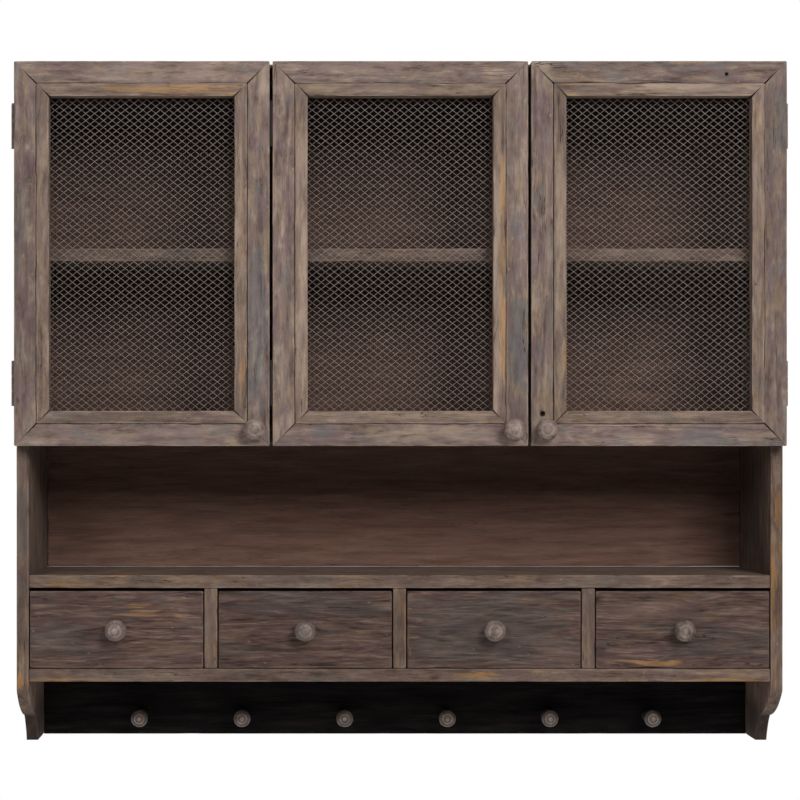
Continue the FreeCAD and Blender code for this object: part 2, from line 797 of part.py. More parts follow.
def make_drawer(number, opening_left):
    drawer = f"drawer_{number}"
    low = opening_left + size("drawer_edge_gap")
    high = opening_left + drawer_opening - size("drawer_edge_gap")
    base = deck_top + size("drawer_floor_gap")
    front_back = case_front + size("drawer_front_thickness")
    rear = back_face - size("drawer_rear_gap")
    side = size("drawer_side_thickness")
    front_top = base + size("drawer_front_height")
    make_knob(f"{drawer}_knob", (low + high) / 2, case_front, (base + front_top) / 2, [f"{drawer}_front"])
    front_depth = (case_front, front_back)
    finish(f"{drawer}_front", block(f"{drawer}_front_blank", (low, high), front_depth, (base, front_top)))

    levels = (base, base + size("drawer_side_height"))
    between = (low + side, high - side)
    bottom_base = base + size("drawer_bottom_lift")
    bottom_levels = (bottom_base, bottom_base + size("drawer_bottom_thickness"))
    box = [
        block(f"{drawer}_left_side", (low, low + side), (front_back, rear), levels),
        block(f"{drawer}_right_side", (high - side, high), (front_back, rear), levels),
        block(f"{drawer}_back", between, (rear - side, rear), levels),
        block(f"{drawer}_bottom", between, (front_back, rear - side), bottom_levels),
    ]
    keep(f"{drawer}_box", group(f"{drawer}_box_group", box))


# Fasteners and doors come before the boards, because they name the holes that the boards get.
make_nails()
make_shelf_pins()
make_pegs()
make_doors()
for case_side in ("left", "right"):
    make_side(case_side)
make_boards()
make_wall_boards()
for drawer_index, drawer_edge in enumerate(drawer_left):
    make_drawer(drawer_index + 1, drawer_edge)
doc.recompute()

failed = [obj.Name for obj in doc.Objects if "Invalid" in obj.State or "Error" in obj.State]
if failed:
    raise RuntimeError(f"these objects failed: {failed}")
for node, obj in nodes.items():
    if obj.Shape.isNull() or not obj.Shape.isValid() or not obj.Shape.Solids:
        raise RuntimeError(f"{node} has no valid solid")

os.makedirs("parts", exist_ok=True)
for node, obj in nodes.items():
    obj.Shape.exportStep(f"parts/{node}.step")
print(len(nodes), "nodes,", sum(len(obj.Shape.Solids) for obj in nodes.values()), "solids")
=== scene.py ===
import json
import math
import random
from dataclasses import dataclass, replace

import bmesh
import bpy
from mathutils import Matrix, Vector, kdtree, noise
from mathutils.geometry import delaunay_2d_cdt


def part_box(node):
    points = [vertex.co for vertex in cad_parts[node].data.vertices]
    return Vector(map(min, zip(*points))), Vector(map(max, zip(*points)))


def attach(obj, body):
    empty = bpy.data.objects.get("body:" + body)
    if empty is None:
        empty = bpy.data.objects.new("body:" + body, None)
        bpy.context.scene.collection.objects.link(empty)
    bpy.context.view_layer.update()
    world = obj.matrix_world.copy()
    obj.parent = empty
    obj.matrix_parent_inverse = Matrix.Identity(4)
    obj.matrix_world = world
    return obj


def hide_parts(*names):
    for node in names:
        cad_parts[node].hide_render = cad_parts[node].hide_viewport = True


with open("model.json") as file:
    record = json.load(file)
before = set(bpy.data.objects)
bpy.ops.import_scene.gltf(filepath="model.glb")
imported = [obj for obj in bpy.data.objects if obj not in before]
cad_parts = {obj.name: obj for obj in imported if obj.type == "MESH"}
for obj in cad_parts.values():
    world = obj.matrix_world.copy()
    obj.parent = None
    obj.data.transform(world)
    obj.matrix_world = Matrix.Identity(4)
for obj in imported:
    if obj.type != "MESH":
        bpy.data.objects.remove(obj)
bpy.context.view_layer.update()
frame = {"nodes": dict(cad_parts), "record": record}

# Directions in the frame
RIGHT = Vector((1, 0, 0))
INWARD = Vector((0, 1, 0))
UP = Vector((0, 0, 1))
DOWN = Vector((0, 0, -1))

THIRDS = ("left", "middle", "right")
DRAWERS = (1, 2, 3, 4)

# How worn a board is, in metres: its skin lies below flat, its edges are rounded and chipped
SKIN = 0.00018
SWELL = 0.00014
ARRIS = 0.0009
HOLE_ARRIS = ARRIS / 3
BACK_ARRIS = 0.0019
CHIP = 0.0065
# How far in from its edges a board's flat faces begin
SHOULDER = 0.0030
# Shoulder and arris at most, as shares of a board's side
SHOULDER_SHARE = 0.3
ARRIS_SHARE = 0.25
# How far a rounded edge's middle lies inside its corner, by its radius
ARC_MIDDLE = 1 - math.sqrt(0.5)
# Wear at the two ends of a rounded edge, where its middle has 1
EASED = 0.6
# Waves per metre on the edges and faces, how uneven an edge is, and how rare its chips are
EDGE_WAVES = 60
CHIP_WAVES = 27
SWELL_WAVES = Vector((14, 90, 90))
EDGE_UNEVEN = 0.45
CHIP_FROM = 0.28
CHIP_PLACE = Vector((7, 3, 1))
# How far out in the noise a board may lie
GRAIN_SPREAD = 4

# Distances between a mesh's points, in metres: at least, on a fine face, a cut board's outline and its face
NEAREST = 0.0004
FINE_GAP = 0.0045
CUT_GAP = 0.008
FACE_GAP = 0.012
HOLE_SIDES = 24

# Kinds of marks on a board's face
RAW = Vector((1, 0, 0))
COOL = Vector((0, 1, 0))
PALE = Vector((0, 0, 1))
DARK = Vector((0, 0, -1))
NO_MARK = Vector((0, 0, 0))
# How hard a mark's edges are
MARK_EDGE = 3

MILLIMETRES = 1000


def band(mesh, rings):
    """Joins closed rings of as many points, each to the next, by smooth faces."""
    for ring, other in zip(rings, rings[1:]):
        for index, vert in enumerate(ring):
            around = (ring[index - 1], vert, other[index], other[index - 1])
            mesh.faces.new(around).smooth = True


def fan(mesh, ring, centre, smooth):
    """Closes a ring by faces that meet at one point."""
    for index, vert in enumerate(ring):
        mesh.faces.new((ring[index - 1], vert, centre)).smooth = smooth


def mesh_data(mesh, name):
    """A finished mesh, with all faces turned outward."""
    bmesh.ops.recalc_face_normals(mesh, faces=mesh.faces)
    data = bpy.data.meshes.new(name)
    mesh.to_mesh(data)
    mesh.free()
    return data


def placed(name, data, body, slot, node):
    """Makes an object of a mesh, rides it on a body and lets it stand for a node."""
    piece = bpy.data.objects.new(name, data)
    bpy.context.scene.collection.objects.link(piece)
    data.materials.append(LOOKS[slot])
    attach(piece, body)
    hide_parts(node)


class Timber:
    """A wooden piece that stands for a node. The points of its mesh carry grain, wear and marks."""

    def __init__(self, node, body, slot, made="worn"):
        self.node = node
        self.body = body
        self.slot = slot
        self.name = f"{node}_{made}"
        self.mesh = bmesh.new()
        layers = self.mesh.verts.layers
        self.grain = layers.float_vector.new("grain")
        self.wear = layers.float.new("wear")
        self.marks = layers.float_vector.new("marks")

    def point(self, place, grain, wear, marks=NO_MARK):
        vert = self.mesh.verts.new(place)
        vert[self.grain] = grain
        vert[self.wear] = wear
        vert[self.marks] = marks
        return vert

    def cap(self, ring):
        """Closes a board's end by flat faces round its middle."""
        middle = sum((vert.co for vert in ring), Vector()) / len(ring)
        grain = sum((vert[self.grain] for vert in ring), Vector()) / len(ring)
        fan(self.mesh, ring, self.point(middle, grain, EASED), smooth=False)

    def done(self):
        placed(self.name, mesh_data(self.mesh, self.name), self.body, self.slot, self.node)


@dataclass
class Mark:
    """A stretch of a board's face that has lost or gained colour, or carries painted shade or light, placed
    along and across it.
    """

    kind: Vector
    along: float
    across: float
    half_length: float
    half_width: float

    def moved(self, along, across):
        return replace(self, along=self.along + along, across=self.across + across)

    def at(self, along, across):
        run = abs(along - self.along) / self.half_length
        rise = abs(across - self.across) / self.half_width
        return self.kind * max(0, 1 - max(run, rise) ** MARK_EDGE)


def mark(kind, *sizes):
    """A mark whose place and half sizes are given in millimetres."""
    return Mark(kind, *(size / MILLIMETRES for size in sizes))


def all_marks(marks, along, across):
    return sum((each.at(along, across) for each in marks), NO_MARK)


@dataclass
class Dent:
    """A small hollow in a board's face, such as a lost knot, painted dark as shade if it is a hole."""

    along: float
    across: float
    radius: float
    depth: float
    # How much painted shade lies in the hollow, for a hole
    hole_shade: float = 0

    # Where lines of points cross the hollow, by its radius, and how its slope runs from the rim inward
    LINES = (-1.45, -1.2, -1, -0.8, -0.6, -0.3, 0, 0.3, 0.6, 0.8, 1, 1.2, 1.45)
    RIM = 1.2
    STEEP = 2.5

    def lines(self, centre):
        return [centre + self.radius * share for share in self.LINES]

    def share(self, along, across):
        away = math.hypot(along - self.along, across - self.across) / self.radius
        return min(1, max(0, self.RIM - away) * self.STEEP)

    def sink(self, along, across):
        return self.depth * self.share(along, across)

    def at(self, along, across):
        # Painted shade inside a hole, as a dark mark
        return DARK * self.hole_shade * self.share(along, across)


def steps(start, end, gap):
    """Even places from start to end, no further apart than gap."""
    count = max(1, math.ceil((end - start) / gap))
    return [start + (end - start) * index / count for index in range(count + 1)]


def between(lines, low, high):
    """The lines that lie inside low and high, in order, without any too close to the one before."""
    kept = [low]
    for line in sorted(lines):
        if line - kept[-1] > NEAREST and high - line > NEAREST:
            kept.append(line)
    return kept[1:]


def once_round(count):
    """Cosine and sine of even angles once round."""
    angles = [2 * math.pi * index / count for index in range(count)]
    return [(math.cos(angle), math.sin(angle)) for angle in angles]


def own_place(seed):
    """A place of its own in the grain for each board, so that no two boards look alike."""
    draw = random.Random(seed)
    return Vector([draw.uniform(-GRAIN_SPREAD, GRAIN_SPREAD) for axis in range(3)])


def worn_radius(arris, limit, place):
    """Radius of an eased edge at one place: uneven, and now and then chipped."""
    rough = noise.noise(place * EDGE_WAVES)
    chip = max(0, noise.noise(place * CHIP_WAVES + CHIP_PLACE) - CHIP_FROM)
    return min(limit, arris * (1 + EDGE_UNEVEN * rough) + chip * CHIP)


def swell(grain):
    """How far a dried face lies below flat at one place, in long waves along the grain."""
    return SWELL * (1 + noise.noise(grain * SWELL_WAVES))


def section(width, thickness, radii, reach, fills):
    """Points round a board's section as (point, wear, side), its four corners rounded."""
    corners = ((0, 0), (width, 0), (width, thickness), (0, thickness))
    ways = ((1, 0), (0, 1), (-1, 0), (0, -1))
    points = []
    for side in range(4):
        start = Vector(corners[side])
        way = Vector(ways[side])
        before = Vector(ways[side - 1])
        span = (width, thickness)[side % 2]
        shoulder = reach[side % 2]
        first = radii[side]
        last = radii[(side + 1) % 4]
        points.append((start + (way - before) * first * ARC_MIDDLE, 1, side))
        points.append((start + way * first, EASED, side))
        for line in [shoulder] + fills[side] + [span - shoulder]:
            points.append((start + way * line, 0, side))
        points.append((start + way * (span - last), EASED, side))
    return points


def plank(timber, corner, along, across, size, seed, mitre=0, gap=0.006, marks=(), dents=()):
    """Adds a worn board. From corner its length runs along, its width across, its depth square to both.

    Its ends draw in by mitre times the way across, and its first face carries the marks and dents."""
    length, width, thickness = size
    deep = along.cross(across)
    own = own_place(seed)
    reach = [min(SHOULDER, SHOULDER_SHARE * span) for span in (width, thickness)]
    limit = min(ARRIS_SHARE * min(width, thickness), min(reach) - NEAREST)
    easing = min(ARRIS, limit)
    face_lines = steps(reach[0], width - reach[0], gap)
    stations = steps(easing, length - easing, gap) + [SHOULDER, length - SHOULDER]
    for dent in dents:
        face_lines += dent.lines(dent.across)
        shortened = length - 2 * mitre * dent.across
        stations += dent.lines((dent.along - mitre * dent.across) / shortened * length)
    face_lines = between(face_lines, reach[0], width - reach[0])
    edge_lines = between(steps(reach[1], thickness - reach[1], gap), reach[1], thickness - reach[1])
    fills = (face_lines, edge_lines, [width - line for line in reversed(face_lines)], edge_lines)
    stations = [0, easing] + between(stations, easing, length - easing) + [length - easing, length]
    rings = []
    for number, station in enumerate(stations):
        share = station / length
        closing = number in (0, len(stations) - 1)
        at_end = number < 2 or number > len(stations) - 3
        radii = [worn_radius(ARRIS, limit, Vector((station, index, 0)) + own) for index in range(4)]
        ring = []
        for (u, v), wear, side in section(width, thickness, radii, reach, fills):
            run = mitre * u + share * (length - 2 * mitre * u)
            grain = Vector((run, u, v)) + own
            sink = SKIN + swell(grain)
            tint = NO_MARK
            if side == 0:
                sink += sum(dent.sink(run, u) for dent in dents)
                tint = all_marks([*marks, *dents], run, u)
            if closing:
                u += easing * (1 - 2 * u / width)
                v += easing * (1 - 2 * v / thickness)
            u += sink * (0, -1, 0, 1)[side]
            v += sink * (1, 0, -1, 0)[side]
            run += SKIN * (1 - 2 * share)
            place = corner + along * run + across * u + deep * v
            ring.append(timber.point(place, grain, max(wear, EASED if at_end else 0), tint))
        rings.append(ring)
    band(timber.mesh, rings)
    timber.cap(rings[0])
    timber.cap(rings[-1])


def board(timber, low, high, grain, seed, gap=0.012, **more):
    """Adds a square board that fills a box. Its marked face is the front, or the left if it runs inward."""
    x, y, z = high - low
    if grain == RIGHT:
        lie = (Vector((low.x, low.y, high.z)), RIGHT, DOWN, (x, z, y))
    elif grain == UP:
        lie = (low, UP, RIGHT, (z, x, y))
    else:
        lie = (low, INWARD, UP, (y, z, x))
    plank(timber, *lie, seed, gap=gap, **more)


UNMARKED = {}


def mitred_frame(timber, low, high, width, seed, gap=0.006, marks=UNMARKED, dents=UNMARKED):
    """Adds four members with mitred corners round a box's edge. marks and dents are kept by member."""
    size = high - low
    members = {
        "top": (Vector((low.x, low.y, high.z)), RIGHT, DOWN, size.x),
        "bottom": (Vector((high.x, low.y, low.z)), -RIGHT, UP, size.x),
        "left": (low, UP, RIGHT, size.z),
        "right": (Vector((high.x, low.y, high.z)), DOWN, -RIGHT, size.z),
    }
    for name, (corner, along, across, length) in members.items():
        plank(timber, corner, along, across, (length, width, size.y), f"{seed} {name}", mitre=1, gap=gap,
              marks=marks.get(name, ()), dents=dents.get(name, ()))


def outward(points):
    """At each point of a closed outline, the way out that keeps the edges at one distance."""
    ways = []
    for index, point in enumerate(points):
        before = (point - points[index - 1]).normalized()
        after = (points[(index + 1) % len(points)] - point).normalized()
        first = Vector((before.y, -before.x))
        second = Vector((after.y, -after.x))
        ways.append((first + second) / (1 + first.dot(second)))
    return ways


def divided(outline, gap):
    """A closed outline with points no further apart than gap."""
    points = []
    for index, start in enumerate(outline):
        end = outline[(index + 1) % len(outline)]
        shares = steps(0, 1, gap / (end - start).length)
        points += [start.lerp(end, share) for share in shares[:-1]]
    return points


def circle(centre, radius):
    """A round hole's outline, which runs the other way from a board's."""
    return [centre + radius * Vector((x, -y)) for x, y in once_round(HOLE_SIDES)]


def inside(place, contours):
    """Whether a place lies within a board's outline and outside its holes."""
    crossings = 0
    for contour in contours:
        for index, end in enumerate(contour):
            start = contour[index - 1]
            if (start.y > place.y) != (end.y > place.y):
                share = (place.y - start.y) / (end.y - start.y)
                crossings += start.x + share * (end.x - start.x) > place.x
    return crossings % 2 == 1


def face_grid(contours, gap):
    """Places spread over a board's face, none too close to its edges."""
    border = [point for contour in contours for point in contour]
    edges = kdtree.KDTree(len(border))
    for number, point in enumerate(border):
        edges.insert(point.to_3d(), number)
    edges.balance()
    across = steps(min(point.x for point in border), max(point.x for point in border), gap)
    upward = steps(min(point.y for point in border), max(point.y for point in border), gap)
    grid = [Vector((p, q)) for p in across for q in upward]
    return [place for place in grid if inside(place, contours) and edges.find(place.to_3d())[2] > gap / 2]


# Smallest area of a triangle, in square metres, and how close two points may lie, in metres
SLIVER = 1e-8
SAME_PLACE = 1e-8


def face_triangles(contours, grid):
    """Triangles over a board's face. They count its points contour by contour, then through the grid."""
    points = []
    edges = []
    for contour in contours:
        first = len(points)
        last = first + len(contour) - 1
        points += contour
        edges += [(number, number + 1) for number in range(first, last)] + [(last, first)]
    places, _, triangles, sources, _, _ = delaunay_2d_cdt(points + grid, edges, [], 0, SAME_PLACE, True)
    kept = []
    for triangle in triangles:
        first, second, third = (places[index] for index in triangle)
        area = abs((second - first).cross(third - first)) / 2
        if area > SLIVER and inside((first + second + third) / 3, contours):
            kept.append([sources[index][0] for index in triangle])
    return kept


def cut_board(timber, outline, holes, place, thickness, seed, upright_grain, marks=(), edge=ARRIS):
    """Adds a board cut to an outline with round holes. place(p, q, t) puts a point of it in the frame.

    Its marks lie along q and across p."""
    own = own_place(seed)

    def lay(p, q, deep, wear):
        grain = own + (Vector((q, p, deep)) if upright_grain else Vector((p, q, deep)))
        sink = SKIN + swell(grain)
        level = min(max(deep, sink), thickness - sink)
        return timber.point(place(p, q, level), grain, wear, all_marks(marks, q, p))

    front_face = []
    back_face = []
    contours = []
    for contour, arris in [(divided(outline, CUT_GAP), edge)] + [(hole, HOLE_ARRIS) for hole in holes]:
        profiles = []
        for point, way in zip(contour, outward(contour)):
            r = worn_radius(arris, SHOULDER - NEAREST, point.to_3d() + own)
            bend = r * ARC_MIDDLE
            front = [(SHOULDER, 0, 0), (r, 0, EASED), (bend, bend, 1), (0, r, EASED), (0, SHOULDER, 0)]
            back = [(inset, thickness - deep, wear) for inset, deep, wear in reversed(front)]
            profile = [(point - way * (inset + SKIN), deep, wear) for inset, deep, wear in front + back]
            profiles.append(profile)
        rings = [[lay(*point, deep, wear) for point, deep, wear in level] for level in zip(*profiles)]
        band(timber.mesh, rings)
        front_face += rings[0]
        back_face += rings[-1]
        contours.append([profile[0][0] for profile in profiles])
    grid = face_grid(contours, FACE_GAP)
    front_face += [lay(*point, 0, 0) for point in grid]
    back_face += [lay(*point, thickness, 0) for point in grid]
    for triangle in face_triangles(contours, grid):
        for face in (front_face, back_face):
            timber.mesh.faces.new([face[index] for index in triangle]).smooth = True


FACETS = 40
TURNING_WOBBLE = 0.02
WOBBLE_ROUND = 1.4
WOBBLE_ALONG = 90


def turned(timber, seat, profile, seed, tint_shift):
    """Adds a turned piece that stands out from its seat to the front.

    The profile holds (distance, radius, tint), and handling makes the whole of it paler or darker."""
    own = own_place(seed)
    rings = []
    for distance, radius, tint in profile[:-1]:
        ring = []
        for x, z in once_round(FACETS):
            way = RIGHT * x + UP * z
            wobble = noise.noise(own + way * WOBBLE_ROUND + INWARD * distance * WOBBLE_ALONG)
            out = way * radius * (1 - TURNING_WOBBLE * (1 + wobble) / 2)
            grain = Vector((distance, out.x, out.z)) + own
            ring.append(timber.point(seat + out - INWARD * distance, grain, 0, PALE * (tint + tint_shift)))
        rings.append(ring)
    band(timber.mesh, rings)
    timber.mesh.faces.new(rings[0]).smooth = False
    distance, _, tint = profile[-1]
    grain = Vector((distance, 0, 0)) + own
    tip = timber.point(seat - INWARD * distance, grain, 0, PALE * (tint + tint_shift))
    fan(timber.mesh, rings[-1], tip, smooth=True)


WIRE_RADIUS = 0.00031
WIRE_SIDES = 5
WIRE_LIFT = 0.00032
DIAMOND_WIDTH = 0.0098
DIAMOND_HEIGHT = 0.0077
WIRE_WANDER = 0.0005
WANDER_WAVES = 45
OTHER_LAYER = 9


def wire(mesh, points):
    """Adds one wire through the given points, closed at its ends."""
    rings = []
    for index, point in enumerate(points):
        before = points[max(index - 1, 0)]
        after = points[min(index + 1, len(points) - 1)]
        way = (after - before).normalized()
        side = way.cross(INWARD).normalized()
        lift = side.cross(way)
        outs = [WIRE_RADIUS * (side * x + lift * y) for x, y in once_round(WIRE_SIDES)]
        rings.append([mesh.verts.new(point + out) for out in outs])
    band(mesh, rings)
    mesh.faces.new(rings[0])
    mesh.faces.new(rings[-1])


def crossing(centre, along, across, lift):
    """A place on the mesh, counted in diamonds, bent a little out of its regular place."""
    x = centre.x + along * DIAMOND_WIDTH
    z = centre.z + across * DIAMOND_HEIGHT
    waves_x = x * WANDER_WAVES
    waves_z = z * WANDER_WAVES
    wander_x = WIRE_WANDER * noise.noise(Vector((waves_x, 0, waves_z)))
    wander_z = WIRE_WANDER * noise.noise(Vector((waves_x, OTHER_LAYER, waves_z)))
    return Vector((x + wander_x, centre.y + lift, z + wander_z))


def diamond_mesh(name, low, high):
    """A mesh of rising and falling wires that pass over and under each other."""
    mesh = bmesh.new()
    centre = (low + high) / 2
    half_across = (high.x - low.x) / 2 / DIAMOND_WIDTH
    half_up = (high.z - low.z) / 2 / DIAMOND_HEIGHT
    last = math.floor(half_across + half_up)
    for rise in (1, -1):
        for number in range(-last, last + 1):
            start = max(-2 * half_across - number, -2 * half_up + number)
            end = min(2 * half_across - number, 2 * half_up + number)
            if end - start < 1:
                continue
            inner = range(math.floor(start) + 1, math.ceil(end))
            points = []
            for run in [start, *inner, end]:
                lift = rise * WIRE_LIFT * math.cos(math.pi * (run + number))
                points.append(crossing(centre, (number + run) / 2, rise * (run - number) / 2, lift))
            wire(mesh, points)
    return mesh_data(mesh, name)


class Field:
    """A number, vector or colour that changes over a surface, to reckon with like a plain one."""

    def __init__(self, tree, socket):
        self.tree = tree
        self.socket = socket

    def __add__(self, other):
        return self.tree.reckon("ADD", self, other)

    def __sub__(self, other):
        return self.tree.reckon("SUBTRACT", self, other)

    def __rsub__(self, other):
        return self.tree.reckon("SUBTRACT", other, self)

    def __mul__(self, other):
        return self.tree.reckon("MULTIPLY", self, other)

    def __abs__(self):
        return self.tree.reckon("ABSOLUTE", self)


class Tree:
    """A shader tree in the making, with short ways to add its nodes."""

    def __init__(self, tree):
        self.nodes = tree.nodes
        self.links = tree.links

    def put(self, value, socket):
        """Links a field to a socket, or sets the socket to a plain value."""
        if isinstance(value, Field):
            self.links.new(value.socket, socket)
        elif socket.type == "RGBA":
            socket.default_value = (*scaled(value, 1 / FULL), 1)
        else:
            socket.default_value = value

    def add(self, kind, outputs, inputs=(), **settings):
        """Adds a node with its settings and inputs, and gives back the outputs that are asked for."""
        node = self.nodes.new(f"ShaderNode{kind}")
        for name, setting in settings.items():
            setattr(node, name, setting)
        for name, value in dict(inputs).items():
            self.put(value, node.inputs[name])
        return [Field(self, node.outputs[name]) for name in outputs]

    def reckon(self, operation, *values):
        """Reckons with numbers, or with vectors if one of the fields is a vector or a colour."""
        numbers = all(value.socket.type == "VALUE" for value in values if isinstance(value, Field))
        kind = "Math" if numbers else "VectorMath"
        return self.add(kind, [0], enumerate(values), operation=operation)[0]

    def largest(self, most, *others):
        for other in others:
            most = self.reckon("MAXIMUM", most, other)
        return most

    def spread(self, value, low, high, way="SMOOTHSTEP"):
        """A value from 0 at low to 1 at high."""
        inputs = {"Value": value, "From Min": low, "From Max": high}
        return self.add("MapRange", ["Result"], inputs, interpolation_type=way)[0]

    def mix(self, share, first, second):
        """Two colours mixed. A Mix node has its share at input 0 and its colours at 6 and 7."""
        return self.add("Mix", [2], {0: share, 6: first, 7: second}, data_type="RGBA")[0]

    def carried(self, name, output):
        """What a mesh's points carry under a name."""
        return self.add("Attribute", [output], attribute_name=name)[0]

    def own_space(self):
        return self.add("TexCoord", ["Object"])[0]

    def parts(self, vector):
        return self.add("SeparateXYZ", "XYZ", {0: vector})

    def clouds(self, place, along, across, detail=4, roughness=0.55):
        """Noise with so many waves to a metre along and across the grain."""
        inputs = {"Vector": place * (along, across, across), "Scale": 1, "Detail": detail,
                  "Roughness": roughness}
        return self.add("TexNoise", ["Fac"], inputs)[0]

    def blotches(self, place, along, across, low, high, **more):
        """Noise with edges: 0 where it is below low, 1 where it is above high."""
        return self.spread(self.clouds(place, along, across, **more), low, high)

    def level_line(self, value, level, near, far):
        """A line where a value passes a level: 1 nearer to it than near, 0 beyond far."""
        return 1 - self.spread(abs(value - level), near, far)

    def scattered(self, place, along, across, rarity):
        """Scattered spots: the distance from the nearest one, and whether it is among the chosen few."""
        inputs = {"Vector": place * (along, across, across), "Scale": 1}
        distance, draw = self.add("TexVoronoi", ["Distance", "Color"], inputs)
        return distance, self.spread(draw, rarity, rarity + CHOSEN_EDGE)

    def spots(self, scattered, near, far):
        """The chosen spots: 1 nearer to their middles than near, 0 beyond far."""
        distance, chosen = scattered
        return chosen * (1 - self.spread(distance, near, far))

    def seen(self):
        """1 for a ray of the camera, a reflection or a see-through piece, 0 for the light's own paths."""
        rays = ["Is Camera Ray", "Is Glossy Ray", "Is Transmission Ray"]
        return self.largest(*self.add("LightPath", rays))


class Look(Tree):
    """One material in the making."""

    def __init__(self, name):
        self.material = bpy.data.materials.new(name)
        self.material.use_nodes = True
        super().__init__(self.material.node_tree)
        self.shader = self.nodes["Principled BSDF"]

    def finish(self, colour, roughness, height, depth, specular, metallic=0):
        """Connects the colour, the roughness and a bump of the given depth in metres."""
        bump = self.add("Bump", ["Normal"], {"Strength": 1, "Distance": depth, "Height": height})[0]
        inputs = {"Base Color": colour, "Roughness": roughness, "Normal": bump, "Metallic": metallic,
                  "Specular IOR Level": specular}
        for name, value in inputs.items():
            self.put(value, self.shader.inputs[name])
        return self.material


# Colours are written in thousandths of full
FULL = 1000
WHITE = (FULL, FULL, FULL)
CRACK = (12, 9, 8)


def scaled(shade, factor):
    return [part * factor for part in shade]


def blended(first, second, share):
    return [one + (other - one) * share for one, other in zip(first, second)]


# How soon a chosen spot, a film and raw wood get from none to full
CHOSEN_EDGE = 0.04
FILM_EDGE = 0.13
RAW_EDGE = 0.09
# How far marks and wear push a film and raw wood
FILM_PUSH = 0.24
RAW_PUSH = 0.36
WEAR_PUSH = 0.05
# Where each layer of blotches lies in the noise, so that no two layers match
FILM_PLACE = (0, 0, 0)
TAN_PLACE = (5, 2, 7)
COOL_PLACE = (3, 1, 2)
FLAKES_PLACE = (7, 3, 1)
DIRT_PLACE = (1, 8, 4)
# Shares that the fibres, the growth rings and the layers between them have in the tone
FIBRE_TONE = 0.12
RING_TONE = 0.24
LAYER_TONE = 0.64
# How far the grain sways, in metres, and how far knots push the growth rings
SWAY = 0.014
KNOT_PUSH = 0.16
# How much lighter and darker a film, raw wood and the whole board get with the tone or along the board
FILM_CONTRAST = 0.32
RAW_CONTRAST = 0.45
SLOW_CONTRAST = 0.15
# How strongly each kind of pale or dark place shows, and how pale the rubbed ones are
RAW_SHARE = 0.85
EDGE_SHARE = 0.85
FLECK_SHARE = 0.6
FLAKE_SHARE = 2
HEART_SHARE = 0.8
PORE_SHARE = 0.3
DIRT_SHARE = 0.5
DARK_SHARE = 0.95
RUBBED = 1.15
# How strongly a pale mark shows everywhere, and how much more on the light bands
PALE_LEAST = 0.35
PALE_BANDS = 0.6
# How much smoother light fibres are, and what stands out of or into the surface by how much of its depth
FIBRE_SHEEN = 0.16
FIBRE_RELIEF = 0.3
STREAK_RELIEF = 0.5
RING_RELIEF = 0.2
HOLLOW_RELIEF = 0.9


